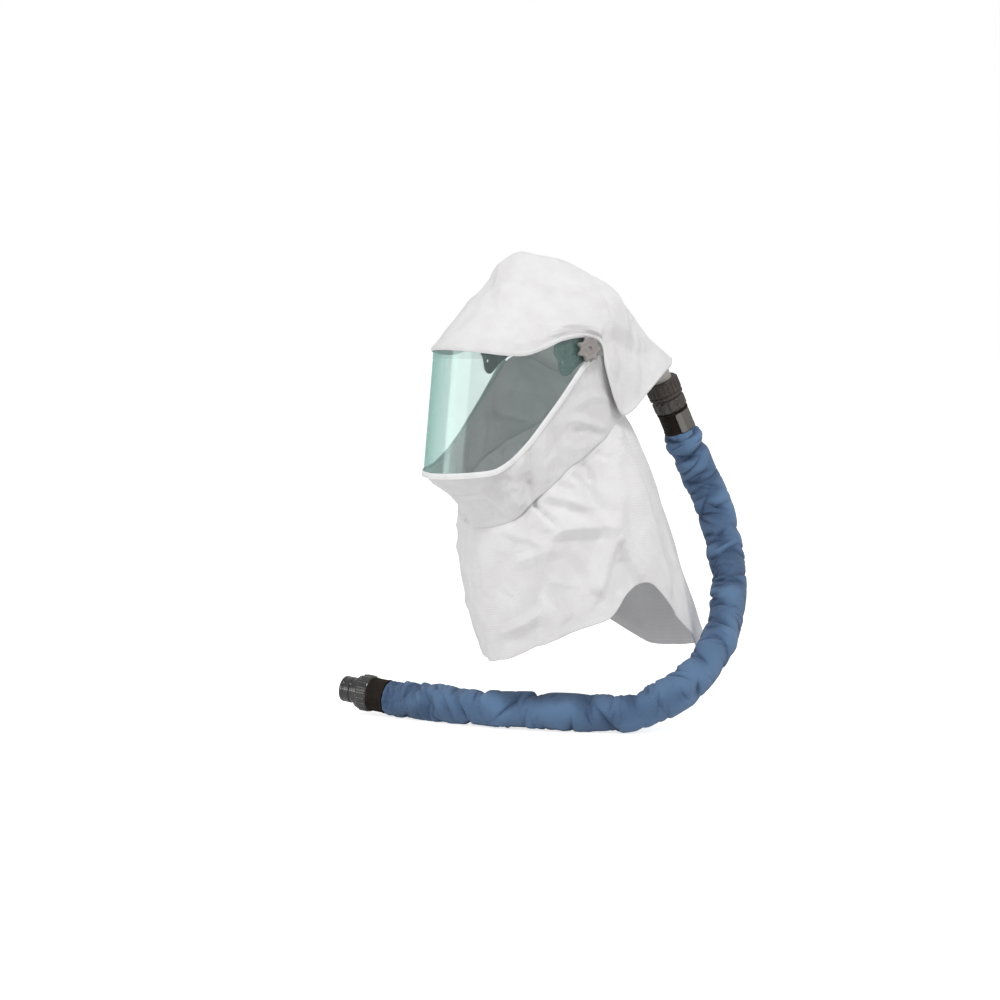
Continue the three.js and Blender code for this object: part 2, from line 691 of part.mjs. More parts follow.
function headbandGeometry() {
  const ring = new THREE.Shape().absellipse(
    0, HEADBAND_CENTRE_Y, HEADBAND_HALF_WIDTH, HEADBAND_HALF_LENGTH, 0, 2 * Math.PI,
  );
  ring.holes.push(new THREE.Path().absellipse(
    0, HEADBAND_CENTRE_Y, HEADBAND_HALF_WIDTH - HEADBAND_WALL, HEADBAND_HALF_LENGTH - HEADBAND_WALL,
    0, 2 * Math.PI,
  ));
  let band = asSolid(new THREE.ExtrudeGeometry(ring, {
    depth: HEADBAND_TOP - HEADBAND_BOTTOM,
    bevelEnabled: false,
    curveSegments: HEADBAND_SEGMENTS / 2,
  }).translate(0, 0, HEADBAND_BOTTOM));
  for (const { side } of sides) {
    const { matrix } = sideFrame(side);
    const backOfBracket = -VISOR_THICKNESS - 2 * CLEARANCE - BRACKET_THICKNESS;
    const middle = HEADBAND_HALF_WIDTH - HEADBAND_WALL / 2;
    const reach = facePoint(KNOB_ARC, KNOB_HEIGHT).x - middle;
    const lug = new THREE.BoxGeometry(LUG_LENGTH, LUG_HEIGHT, reach + backOfBracket)
      .translate(side * LUG_BACK_OF_KNOB, LUG_MIDDLE_HEIGHT - KNOB_HEIGHT, (backOfBracket - reach) / 2)
      .applyMatrix4(matrix);
    const inside = new THREE.CylinderGeometry(1, 1, 2 * HEADBAND_TOP, HEADBAND_SEGMENTS)
      .rotateX(Math.PI / 2)
      .scale(HEADBAND_HALF_WIDTH - HEADBAND_WALL, HEADBAND_HALF_LENGTH - HEADBAND_WALL, 1)
      .translate(0, HEADBAND_CENTRE_Y, 0);
    band = band.add(asSolid(lug).subtract(asSolid(inside)));
  }
  return asGeometry(band);
}
addPiece('headband', headbandGeometry(), finish(0x3b3d40, 0.6));

// Inlet: the duct and the coupling's pieces stand in one frame whose Z runs down the coupling's axis.

const couplingAxis = new THREE.Vector3(0, Math.sin(COUPLING_TILT), -Math.cos(COUPLING_TILT));
const alongCoupling = (distance) => COUPLING_CENTRE.clone().addScaledVector(couplingAxis, distance);
const nutEnd = NUT_LENGTH / 2;

function ductGeometry() {
  const headbandBack = HEADBAND_CENTRE_Y + HEADBAND_HALF_LENGTH;
  const path = new THREE.CatmullRomCurve3([
    ...DUCT_ROUTE.map(({ back, z }) => new THREE.Vector3(0, headbandBack + back, z)),
    alongCoupling(-DUCT_STRAIGHT_START),
    alongCoupling(-DUCT_STRAIGHT_END),
    alongCoupling(-nutEnd),
    alongCoupling(nutEnd),
  ]);
  const wall = new THREE.Shape().absarc(0, 0, DUCT_RADIUS, 0, 2 * Math.PI);
  wall.holes.push(new THREE.Path().absarc(0, 0, DUCT_RADIUS - DUCT_WALL, 0, 2 * Math.PI));
  return new THREE.ExtrudeGeometry(wall, {
    extrudePath: path,
    steps: DUCT_STEPS,
    curveSegments: DUCT_SEGMENTS,
  });
}
addPiece('air_duct', ductGeometry(), finish(0xb9b4ab, 0.5));

const coupling = new THREE.Group();
coupling.position.copy(COUPLING_CENTRE);
coupling.quaternion.setFromUnitVectors(new THREE.Vector3(0, 0, 1), couplingAxis);
hood.add(coupling);

// A toothed ring between two heights along Z, with square teeth round it and a bore if it has one.
function toothedRing(radius, tooth, teeth, bore, low, high) {
  const points = [];
  for (let i = 0; i < teeth; i += 1) {
    for (const { share, rise } of TOOTH_CORNERS) {
      const angle = (2 * Math.PI * (i + share)) / teeth;
      const reach = radius + rise * tooth;
      points.push(new THREE.Vector2(reach * Math.cos(angle), reach * Math.sin(angle)));
    }
  }
  const outline = new THREE.Shape(points);
  if (bore) outline.holes.push(new THREE.Path().absarc(0, 0, bore, 0, 2 * Math.PI));
  const ring = new THREE.ExtrudeGeometry(outline, {
    depth: high - low,
    bevelEnabled: false,
    curveSegments: BORE_SEGMENTS,
  });
  return ring.translate(0, 0, low);
}

// A turned piece from pairs of radius and height that start and end on the axis.
function turned(profile) {
  const points = profile.map(([radius, height]) => new THREE.Vector2(radius, height));
  return new THREE.LatheGeometry(points, TURNED_SEGMENTS).rotateX(Math.PI / 2);
}

const ringStart = nutEnd + CLEARANCE;
const ringEnd = ringStart + RING_LENGTH;
const cuffStart = ringEnd + CLEARANCE;
const cuffEnd = cuffStart + CUFF_TOP_LENGTH;
addPiece('coupling_nut',
  toothedRing(NUT_RADIUS, NUT_TOOTH, NUT_TEETH, DUCT_RADIUS + CLEARANCE, -nutEnd, nutEnd),
  finish(0x2c2826, 0.6), coupling);
addPiece('coupling_ring',
  toothedRing(RING_RADIUS, RING_LUG, RING_LUGS, 0, ringStart, ringEnd), finish(0x332e2b, 0.55), coupling);

// A cuff with a bead at each end
function cuffGeometry(radius, low, high) {
  return turned([
    [0, low],
    [radius + CUFF_BEAD, low],
    [radius + CUFF_BEAD, low + CUFF_BEAD_WIDTH],
    [radius, low + CUFF_BEAD_WIDTH + CUFF_BEAD],
    [radius, high - CUFF_BEAD_WIDTH - CUFF_BEAD],
    [radius + CUFF_BEAD, high - CUFF_BEAD_WIDTH],
    [radius + CUFF_BEAD, high],
    [0, high],
  ]);
}
addPiece('hose_cuff_top', cuffGeometry(CUFF_TOP_RADIUS, cuffStart, cuffEnd), finish(0x1d1917, 0.7), coupling);

function tabGeometry() {
  const inner = CUFF_TOP_RADIUS + CUFF_BEAD + CLEARANCE;
  const outer = inner + TAB_THICKNESS;
  const outline = new THREE.Shape().absarc(0, 0, outer, -TAB_HALF_ANGLE, TAB_HALF_ANGLE);
  outline.absarc(0, 0, inner, TAB_HALF_ANGLE, -TAB_HALF_ANGLE, true);
  const tab = new THREE.ExtrudeGeometry(outline, {
    depth: TAB_LENGTH,
    bevelEnabled: false,
    curveSegments: SMALL_ARC_SEGMENTS,
  });
  return tab.translate(0, 0, cuffEnd - TAB_LENGTH - CLEARANCE);
}
addPiece('cuff_tab', tabGeometry(), finish(0x6b6864, 0.8), coupling);

// Hose

const endAxis = new THREE.Vector3(
  Math.cos(END_HEADING) * Math.cos(END_RISE),
  Math.sin(END_HEADING) * Math.cos(END_RISE),
  Math.sin(END_RISE),
);
const sleeveStart = alongCoupling(cuffEnd + CLEARANCE);
const sleevePath = new THREE.CatmullRomCurve3([
  sleeveStart,
  alongCoupling(cuffEnd + SLEEVE_STRAIGHT_START),
  ...HOSE_ROUTE.map(([x, y, z]) => new THREE.Vector3(x, y, z)),
  HOSE_END.clone().addScaledVector(endAxis, -SLEEVE_STRAIGHT_END),
  HOSE_END.clone().addScaledVector(endAxis, -CLEARANCE),
]);
const sleeveSection = new THREE.Shape(
  Array.from({ length: SLEEVE_SIDES }, (_, i) => {
    const angle = (2 * Math.PI * i) / SLEEVE_SIDES;
    return new THREE.Vector2(SLEEVE_RADIUS * Math.cos(angle), SLEEVE_RADIUS * Math.sin(angle));
  }),
);
addPiece('hose_sleeve',
  new THREE.ExtrudeGeometry(sleeveSection, { extrudePath: sleevePath, steps: SLEEVE_STEPS }),
  finish(0x4f6f9f, 0.85));

const looseEnd = new THREE.Group();
looseEnd.position.copy(HOSE_END);
looseEnd.quaternion.setFromUnitVectors(new THREE.Vector3(0, 0, 1), endAxis);
hood.add(looseEnd);

const endNutStart = CUFF_BOTTOM_LENGTH + CLEARANCE;
const endNutEnd = endNutStart + END_NUT_LENGTH;
const spigotStart = endNutEnd + CLEARANCE;
const spigotEnd = spigotStart + SPIGOT_LENGTH;
addPiece('hose_cuff_bottom',
  cuffGeometry(CUFF_BOTTOM_RADIUS, 0, CUFF_BOTTOM_LENGTH), finish(0x1d1917, 0.7), looseEnd);
addPiece('end_nut',
  toothedRing(END_NUT_RADIUS, END_NUT_TOOTH, END_NUT_TEETH, STEM_RADIUS + CLEARANCE, endNutStart, endNutEnd),
  finish(0x201e1d, 0.55), looseEnd);
addPiece('end_plug', turned([
  [0, endNutStart],
  [STEM_RADIUS, endNutStart],
  [STEM_RADIUS, spigotStart],
  [SPIGOT_RADIUS, spigotStart],
  [SPIGOT_RADIUS, spigotEnd],
  [SPIGOT_BORE_RADIUS, spigotEnd],
  [SPIGOT_BORE_RADIUS, spigotEnd - SPIGOT_BORE_DEPTH],
  [0, spigotEnd - SPIGOT_BORE_DEPTH],
]), finish(0x2a2827, 0.5), looseEnd);

export default hood;
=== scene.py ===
"""A loose-fitting respirator hood: white cloth, a clear visor, a head harness and a sleeved air hose.

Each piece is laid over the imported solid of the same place, in the order that the hood is put together.
Sizes are in millimetres until a mesh is made of them. The wearer faces -Y and +X is the wearer's left.
"""

import bmesh
import bpy
import numpy as np
from mathutils import Matrix, Vector
from mathutils.geometry import delaunay_2d_cdt


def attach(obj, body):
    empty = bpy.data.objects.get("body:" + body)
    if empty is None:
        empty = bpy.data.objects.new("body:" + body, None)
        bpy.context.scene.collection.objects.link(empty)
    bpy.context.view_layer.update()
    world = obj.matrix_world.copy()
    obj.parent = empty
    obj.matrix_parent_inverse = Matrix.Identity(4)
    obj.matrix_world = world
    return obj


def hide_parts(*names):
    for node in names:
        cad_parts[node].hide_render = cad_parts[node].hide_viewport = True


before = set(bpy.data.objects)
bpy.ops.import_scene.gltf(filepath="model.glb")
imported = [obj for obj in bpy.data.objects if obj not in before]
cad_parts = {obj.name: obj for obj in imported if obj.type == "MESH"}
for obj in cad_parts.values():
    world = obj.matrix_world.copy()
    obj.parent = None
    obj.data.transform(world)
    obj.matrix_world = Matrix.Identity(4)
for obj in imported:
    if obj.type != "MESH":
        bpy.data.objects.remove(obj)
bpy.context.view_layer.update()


# Headband: a stiff moulded plastic ring that the wearer's head carries.
# A lug on each side reaches out to a bracket, and everything else hangs from this ring.
MM = 0.001
CLEARANCE = 0.4
FACE_RADIUS = 88.0
FACE_WRAP = np.radians(80)
FACE_SIDE_RUN = 105.0
FACE_LEAN = 0.1
KNOB_HEIGHT = -28.0
KNOB_BEFORE_RUN_END = 10.0
KNOB_ARC = FACE_RADIUS * FACE_WRAP + FACE_SIDE_RUN - KNOB_BEFORE_RUN_END
VISOR_THICKNESS = 1.0
BRACKET_THICKNESS = 2.5
BRACKET_BACK = -VISOR_THICKNESS - CLEARANCE - BRACKET_THICKNESS
HEADBAND_HALF_SIZE = np.array([80.0, 100.0])
HEADBAND_CENTRE = np.array([0.0, -12.0])
HEADBAND_WALL = 2.5
HEADBAND_BOTTOM = -2.0
HEADBAND_TOP = 20.0
HEADBAND_EDGE_RADIUS = 1.1
HEADBAND_SEGMENTS = 220
LUG_BACK_OF_KNOB = -20.0
LUG_LENGTH = 18.0
LUG_HEIGHT = 10.0
LUG_RISE = 29.0
LUG_CORNER_RADIUS = 2.0
# Rows of points of a lug: how far each is drawn in, and how far short of the flat end. None is its root.
LUG_ROWS = [(0, None), (0, 1.2), (0.4, 0.4), (1.2, 0.0)]
SIDES = {"left": 1, "right": -1}
WELD_DISTANCE = 1e-6


class Wire:
    """One output of a node tree. Arithmetic on it adds Math nodes, and node() adds any other kind."""

    def __init__(self, tree, socket=None):
        self.tree = tree
        self.socket = socket

    def node(self, kind, settings=None, inputs=None, output=0):
        node = self.tree.nodes.new(kind)
        for name, value in (settings or {}).items():
            setattr(node, name, value)
        for key, value in (inputs or {}).items():
            if isinstance(value, Wire):
                self.tree.links.new(value.socket, node.inputs[key])
            else:
                node.inputs[key].default_value = value
        return Wire(self.tree, node.outputs[output])

    def math(self, operation, first, second=0.0):
        return self.node("ShaderNodeMath", {"operation": operation}, {0: first, 1: second})

    def mix(self, low, high):
        return self.node("ShaderNodeMix", {"data_type": "RGBA"}, {0: self, 6: low, 7: high}, 2)

    def __add__(self, other):
        return self.math("ADD", self, other)

    def __sub__(self, other):
        return self.math("SUBTRACT", self, other)

    def __mul__(self, other):
        return self.math("MULTIPLY", self, other)

    def __truediv__(self, other):
        return self.math("DIVIDE", self, other)

    __radd__ = __add__
    __rmul__ = __mul__


def own_place(wire):
    """Where a spot lies on its object, in metres."""
    return wire.node("ShaderNodeTexCoord", output="Object")


def noise(place, scale, detail=3.0):
    return place.node("ShaderNodeTexNoise", None, {"Vector": place, "Scale": scale, "Detail": detail})


def eased(value, low, high):
    """0 below low, 1 above high, and an easy curve between them."""
    sockets = {"Value": value, "From Min": low, "From Max": high}
    return value.node("ShaderNodeMapRange", {"interpolation_type": "SMOOTHSTEP"}, sockets)


def bumped(height, strength, distance):
    return height.node("ShaderNodeBump", None, {"Strength": strength, "Distance": distance, "Height": height})


def finished(name, paint):
    """A material whose sockets paint gives, as values or as wires."""
    material = bpy.data.materials.new(name)
    material.use_nodes = True
    tree = material.node_tree
    shader = tree.nodes["Principled BSDF"]
    for key, value in paint(Wire(tree)).items():
        if isinstance(value, Wire):
            tree.links.new(value.socket, shader.inputs[key])
        else:
            shader.inputs[key].default_value = value
    return material


def moulded_plastic(name, colour, scuffed, roughness, coat=0.0):
    """Moulded plastic with a fine spark grain, a cloudy tone and pale scuffs where it is handled."""

    def paint(wire):
        place = own_place(wire)
        cloud = noise(place, scale=70.0)
        scuff = eased(noise(place, scale=260.0, detail=6.0), low=0.52, high=0.74)
        grain = noise(place, scale=1500.0, detail=2.0)
        return {
            "Base Color": (cloud * 0.45 + scuff * 0.5).mix(colour, scuffed),
            "Roughness": roughness + scuff * 0.16 + cloud * 0.08,
            "Coat Weight": coat,
            "Coat Roughness": 0.1,
            "Normal": bumped(grain + scuff * 0.5, strength=0.25, distance=0.00025),
        }

    return finished(name, paint)


def settle(mesh):
    """Merges doubled corners, turns a closed shell's faces outwards and shades it smooth."""
    shell = bmesh.new()
    shell.from_mesh(mesh)
    bmesh.ops.remove_doubles(shell, verts=shell.verts, dist=WELD_DISTANCE)
    if all(edge.is_manifold for edge in shell.edges) and shell.calc_volume(signed=True) < 0:
        bmesh.ops.reverse_faces(shell, faces=shell.faces)
    shell.to_mesh(mesh)
    shell.free()
    mesh.shade_smooth()
    return mesh


def corners_of(grid):
    return np.stack([grid[:-1, :-1], grid[1:, :-1], grid[1:, 1:], grid[:-1, 1:]], axis=2)


def grid_mesh(name, points, wrap_rows=False, wrap_columns=False, caps=False, uv=None):
    """A smooth mesh through rows and columns of points, closed round either way or capped at its ends."""
    rows, columns = points.shape[:2]
    ids = np.arange(rows * columns).reshape(rows, columns)
    if wrap_rows:
        ids = np.vstack([ids, ids[:1]])
    if wrap_columns:
        ids = np.hstack([ids, ids[:, :1]])
    faces = corners_of(ids).reshape(-1, 4).tolist()
    if caps:
        faces += [ids[0, :columns].tolist(), ids[-1, :columns][::-1].tolist()]
    mesh = bpy.data.meshes.new(name)
    mesh.from_pydata((points.reshape(-1, 3) * MM).tolist(), [], faces)
    if uv is not None:
        corner_uv = np.zeros((len(mesh.loops), 2))
        flat = corners_of(uv).reshape(-1, 2)
        corner_uv[: len(flat)] = flat
        mesh.uv_layers.new(name="weave").data.foreach_set("uv", corner_uv.ravel())
    return settle(mesh)


def joined(name, *meshes):
    whole = bmesh.new()
    for mesh in meshes:
        whole.from_mesh(mesh)
        bpy.data.meshes.remove(mesh)
    mesh = bpy.data.meshes.new(name)
    whole.to_mesh(mesh)
    whole.free()
    return mesh


def linked(name, data):
    """A new object, in the scene."""
    obj = bpy.data.objects.new(name, data)
    bpy.context.scene.collection.objects.link(obj)
    return obj


def add_piece(mesh, material, body, slot, *nodes):
    """Puts a finished mesh on a body, in place of the solids that it stands for."""
    piece = linked(mesh.name, mesh)
    mesh.materials.clear()
    mesh.materials.append(material)
    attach(piece, body)
    if nodes:
        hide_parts(*nodes)
    return piece


def face_point(arc, z, out=0.0):
    """A point on the visor's outer face, by distance round it from the middle, or moved out from it."""
    arc, z, out = np.broadcast_arrays(np.asarray(arc, float), z, out)
    reach = np.abs(arc)
    angle = np.minimum(reach / FACE_RADIUS, FACE_WRAP)
    run = np.maximum(reach - FACE_RADIUS * FACE_WRAP, 0)
    centre = FACE_RADIUS * np.cos(FACE_WRAP) - FACE_SIDE_RUN * np.sin(FACE_WRAP)
    x = (FACE_RADIUS + out) * np.sin(angle) + run * np.cos(angle)
    y = centre - (FACE_RADIUS + out) * np.cos(angle) + run * np.sin(angle)
    return np.stack([np.sign(arc) * x, y + FACE_LEAN * (z - KNOB_HEIGHT), z], axis=-1)


def side_frame(side):
    """At a knob: X along the face line, Y up and Z out through the visor."""
    ahead = np.array([np.cos(FACE_WRAP), np.sin(FACE_WRAP), 0])
    out = np.cross(ahead, [0, FACE_LEAN, 1])
    out /= np.linalg.norm(out)
    mirror = np.array([side, 1, 1])
    out = out * mirror
    along = ahead * mirror * side
    matrix = np.eye(4)
    matrix[:3, :3] = np.column_stack([along, np.cross(out, along), out])
    matrix[:3, 3] = face_point(side * KNOB_ARC, KNOB_HEIGHT)
    return matrix


def placed(matrix, points):
    return points @ matrix[:3, :3].T + matrix[:3, 3]


def rounded_rectangle(width, height, radius, steps=5):
    turn = np.radians(np.linspace(0, 90, steps + 1))
    outline = []
    for quarter, (x, y) in enumerate([(1, 1), (-1, 1), (-1, -1), (1, -1)]):
        angle = turn + quarter * np.pi / 2
        across = x * (width / 2 - radius) + radius * np.cos(angle)
        outline.append(np.stack([across, y * (height / 2 - radius) + radius * np.sin(angle)], axis=-1))
    return np.concatenate(outline)


def headband_mesh():
    section = rounded_rectangle(HEADBAND_WALL, HEADBAND_TOP - HEADBAND_BOTTOM, HEADBAND_EDGE_RADIUS)
    around = np.linspace(0, 2 * np.pi, HEADBAND_SEGMENTS, endpoint=False)
    reach = HEADBAND_HALF_SIZE - HEADBAND_WALL / 2 + section[:, :1, None]
    plan = HEADBAND_CENTRE + reach * np.stack([np.cos(around), np.sin(around)], axis=-1)
    level = section[:, 1:, None] + (HEADBAND_TOP + HEADBAND_BOTTOM) / 2
    height = np.broadcast_to(level, (*plan.shape[:2], 1))
    ring = grid_mesh("ring", np.concatenate([plan, height], axis=-1), True, True)
    lugs = []
    for side in SIDES.values():
        matrix = side_frame(side)
        middle = HEADBAND_HALF_SIZE - HEADBAND_WALL / 2
        rows = []
        for inset, fall in LUG_ROWS:
            size = (LUG_LENGTH - 2 * inset, LUG_HEIGHT - 2 * inset)
            outline = rounded_rectangle(*size, LUG_CORNER_RADIUS)
            local = np.column_stack([outline + [side * LUG_BACK_OF_KNOB, LUG_RISE], np.zeros(len(outline))])
            local[:, 2] = BRACKET_BACK - CLEARANCE - (fall or 0)
            row = placed(matrix, local)
            if fall is None:
                # Each edge runs in along the lug until it meets the middle of the ring's wall.
                start = (row[:, :2] - HEADBAND_CENTRE) / middle
                step = matrix[:2, 2] / middle
                half = start @ step
                square = step @ step
                gap = (start * start).sum(1) - 1
                row = row - matrix[:3, 2] * ((half - np.sqrt(half**2 - square * gap)) / square)[:, None]
            rows.append(row)
        lugs.append(grid_mesh("lug", np.array(rows), wrap_columns=True, caps=True))
    return joined("headband_ring", ring, *lugs)


harness_plastic = moulded_plastic(
    "harness_plastic", (0.045, 0.048, 0.052, 1), (0.11, 0.115, 0.12, 1), roughness=0.5
)
add_piece(headband_mesh(), harness_plastic, "hood", "headband_plastic", "headband")


# Harness brackets: a flat moulded plate behind each end of the visor, screwed to the headband's lug.
# The knob's stud passes through it, and low round bosses stiffen its back.
BRACKET_OUTLINE = np.array([
    (-32, 34), (-32, 16), (-46, 8), (-48, -6), (-42, -14), (-40, -30), (-33, -37),
    (-25, -36), (-10, -20), (8, -12), (12, 0), (8, 12), (-8, 18), (-8, 34),
], float)
BRACKET_CORNER_CUTS = 3
BRACKET_ROUNDING = 0.6
# Each hole and boss: its middle from the stud's, and its radius.
BRACKET_HOLES = [(0, 0, 3.4), (-34, -18, 2.2), (-32, -4, 2.8)]
BRACKET_BOSSES = [(-20, 27, 4.2), (-36, -27, 3.4), (-32, -4, 5.0), (-16, -8, 3.0)]
BOSS_THICKNESS = 2.6
BOSS_ROUNDING = 0.5
BOSS_BEHIND_BACK = 0.2
PLATE_SHARP_EDGE = np.radians(40)


def corner_cut(outline, times):
    """Cuts the corners of a closed outline again and again until they are round."""
    for _ in range(times):
        ahead = np.roll(outline, -1, axis=0)
        near = 0.75 * outline + 0.25 * ahead
        far = 0.25 * outline + 0.75 * ahead
        outline = np.stack([near, far], axis=1).reshape(-1, 2)
    return outline


def drawn_in(outline, distance):
    """A closed anticlockwise outline moved in by an even distance."""
    ahead = np.roll(outline, -1, axis=0) - np.roll(outline, 1, axis=0)
    ahead /= np.linalg.norm(ahead, axis=1, keepdims=True)
    return outline + distance * np.column_stack([-ahead[:, 1], ahead[:, 0]])


def evaluated_mesh(obj):
    """A plain mesh of an object as its curve or its modifiers make it."""
    return bpy.data.meshes.new_from_object(obj.evaluated_get(bpy.context.evaluated_depsgraph_get()))


def plate_mesh(name, outlines, thickness, rounding):
    """A flat plate with rounded edges, centred on its own middle, from an outline and its holes."""
    curve = bpy.data.curves.new(name, "CURVE")
    curve.dimensions = "2D"
    curve.fill_mode = "BOTH"
    curve.extrude = (thickness / 2 - rounding) * MM
    curve.bevel_depth = rounding * MM
    curve.bevel_resolution = 2
    for outline in outlines:
        spline = curve.splines.new("POLY")
        spline.points.add(len(outline) - 1)
        spline.use_cyclic_u = True
        for point, (x, y) in zip(spline.points, outline):
            point.co = (x * MM, y * MM, 0, 1)
    holder = linked(name, curve)
    mesh = evaluated_mesh(holder)
    bpy.data.objects.remove(holder)
    bpy.data.curves.remove(curve)
    settle(mesh)
    mesh.set_sharp_from_angle(angle=PLATE_SHARP_EDGE)
    return mesh


def metres(matrix):
    """The same placing for a mesh that is already in metres."""
    scaled = matrix.copy()
    scaled[:3, 3] *= MM
    return Matrix(scaled.tolist())


def circle(x, y, radius, segments=32):
    angle = np.linspace(0, 2 * np.pi, segments, endpoint=False)
    return np.column_stack([x + radius * np.cos(angle), y + radius * np.sin(angle)])


def bracket_mesh(name, side):
    outline = corner_cut(BRACKET_OUTLINE, BRACKET_CORNER_CUTS)
    if side < 0:
        # The mirrored outline runs clockwise, so it is turned round.
        outline = (outline * [-1, 1])[::-1]
    holes = [circle(side * x, y, radius + BRACKET_ROUNDING) for x, y, radius in BRACKET_HOLES]
    outlines = [drawn_in(outline, BRACKET_ROUNDING), *holes]
    plate = plate_mesh(name, outlines, BRACKET_THICKNESS, BRACKET_ROUNDING)
    plate.transform(Matrix.Translation((0, 0, (BRACKET_BACK + BRACKET_THICKNESS / 2) * MM)))
    parts = [plate]
    for x, y, radius in BRACKET_BOSSES:
        boss = plate_mesh(name, [circle(side * x, y, radius)], BOSS_THICKNESS, BOSS_ROUNDING)
        boss.transform(Matrix.Translation((0, 0, (BRACKET_BACK - BOSS_BEHIND_BACK) * MM)))
        parts.append(boss)
    whole = joined(name, *parts)
    whole.transform(metres(side_frame(side)))
    return whole


bracket_plastic = moulded_plastic(
    "bracket_plastic", (0.03, 0.07, 0.068, 1), (0.26, 0.36, 0.345, 1), roughness=0.42
)
for side_name, side in SIDES.items():
    plate = bracket_mesh(f"bracket_plate_{side_name}", side)
    add_piece(plate, bracket_plastic, "hood", "bracket_plastic", f"bracket_{side_name}")


# Visor: one clear sheet of faintly green plastic, cut flat and bent round the face from knob to knob.
# Its top edge slips under the crown's brow and its lower edge is sewn into the binding.
VISOR_END_ARC = KNOB_ARC + 18
VISOR_UNDER_BROW = 4.0
VISOR_COLUMNS = 260
VISOR_ROWS = 24
STUD_RADIUS = 3.0
STUD_REACH = 9.0
# Distance round the face from its middle, and height.
BINDING_LINE = np.array([
    (0, -200.5), (40, -199), (80, -195.5), (98, -192.5), (112, -185), (125, -175), (145, -154),
    (165, -127), (185, -99), (204, -70), (216, -52), (228, -42), (244, -38),
])
# The same, then how much of the front slope and of the tail the crown has there.
CROWN_BROW = np.array([
    (0, -29, 1, 0), (37, -30, 1, 0), (70, -33, 0.85, 0), (100, -36.5, 0.65, 0), (128, -36.5, 0.45, 0),
    (155, -28, 0.3, 0), (182, -16.5, 0.15, 0), (213, -12.5, 0.05, 0), (238, -20, 0, 0),
])
FACE_ON_TINT = (0.975, 0.99, 0.985, 1)
SLANTED_TINT = (0.58, 0.82, 0.775, 1)
VISOR_SHINE = (0.82, 0.97, 0.94, 1)
VISOR_INDEX = 1.55
VISOR_HAZE = 0.05
VISOR_MIRROR_LIMIT = 0.3


def smooth_rows(rows, at):
    """Reads a table at places between its rows, with every column eased. Column 0 is the place."""
    key = rows[:, 0]
    last = len(rows) - 1
    at = np.asarray(at, float)
    i = np.clip(np.searchsorted(key, at) - 1, 0, last - 1)
    low, high = rows[i], rows[i + 1]
    before, after = rows[np.maximum(i - 1, 0)], rows[np.minimum(i + 2, last)]
    span = (key[i + 1] - key[i])[..., None]
    share = (at - key[i])[..., None] / span
    start = (high - before) / (high - before)[..., :1] * span
    end = (after - low) / (after - low)[..., :1] * span
    rise = high - low
    return low + share * (start + share * (rise - start + (share - 1) * (start + end - 2 * rise)))


def visor_mesh():
    arc = np.linspace(-VISOR_END_ARC, VISOR_END_ARC, VISOR_COLUMNS + 1)
    reach = np.abs(arc)
    top = smooth_rows(CROWN_BROW, np.minimum(reach, CROWN_BROW[-1, 0]))[:, 1] + VISOR_UNDER_BROW
    bottom = smooth_rows(BINDING_LINE, reach)[:, 1] + CLEARANCE
    down = np.linspace(0, 1, VISOR_ROWS + 1)[:, None]
    outer = face_point(arc[None], top + down * (bottom - top))
    inner = face_point(arc[None], top + down * (bottom - top), -VISOR_THICKNESS)
    return grid_mesh("visor_sheet", np.concatenate([outer, inner[::-1]]), wrap_rows=True)


def closed_ends(mesh):
    shell = bmesh.new()
    shell.from_mesh(mesh)
    open_edges = [edge for edge in shell.edges if edge.is_boundary]
    bmesh.ops.holes_fill(shell, edges=open_edges, sides=0)
    bmesh.ops.recalc_face_normals(shell, faces=shell.faces)
    shell.to_mesh(mesh)
    shell.free()
    return mesh


def with_stud_holes(mesh):
    """The sheet with a round hole at each knob for its stud."""
    sheet = linked("sheet", mesh)
    cutters = []
    for side in SIDES.values():
        rim = circle(0, 0, STUD_RADIUS + CLEARANCE, segments=40)
        ends = [np.column_stack([rim, np.full(len(rim), height)]) for height in (-STUD_REACH, STUD_REACH)]
        bar = grid_mesh("bar", placed(side_frame(side), np.array(ends)), wrap_columns=True, caps=True)
        cutter = linked("cutter", bar)
        cut = sheet.modifiers.new("cut", "BOOLEAN")
        cut.operation = "DIFFERENCE"
        cut.solver = "EXACT"
        cut.object = cutter
        cutters.append(cutter)
    result = evaluated_mesh(sheet)
    for used in [sheet, *cutters]:
        bpy.data.objects.remove(used)
    result.name = "visor_sheet"
    result.shade_smooth()
    result.set_sharp_from_angle(angle=PLATE_SHARP_EDGE)
    return result


def clear_sheet_material():
    material = bpy.data.materials.new("clear_visor_plastic")
    material.use_nodes = True
    tree = material.node_tree
    wire = Wire(tree)
    gloss = tree.nodes["Principled BSDF"]
    gloss.inputs["Base Color"].default_value = VISOR_SHINE
    gloss.inputs["Metallic"].default_value = 0.7
    gloss.inputs["Roughness"].default_value = 0.1
    gloss.inputs["IOR"].default_value = VISOR_INDEX
    slant = wire.node("ShaderNodeLayerWeight", None, {"Blend": 0.3}, "Facing")
    through = wire.node("ShaderNodeBsdfTransparent", None, {"Color": slant.mix(FACE_ON_TINT, SLANTED_TINT)})
    mirror = wire.node("ShaderNodeFresnel", None, {"IOR": VISOR_INDEX})
    place = own_place(wire)
    haze = noise(place, scale=24.0, detail=5.0) * VISOR_HAZE
    share = wire.math("MINIMUM", mirror + haze, VISOR_MIRROR_LIMIT)
    blend = wire.node("ShaderNodeMixShader", None, {0: share, 1: through, 2: Wire(tree, gloss.outputs[0])})
    tree.links.new(blend.socket, tree.nodes["Material Output"].inputs["Surface"])
    return material


visor_sheet = with_stud_holes(closed_ends(visor_mesh()))
add_piece(visor_sheet, clear_sheet_material(), "hood", "clear_visor", "visor")


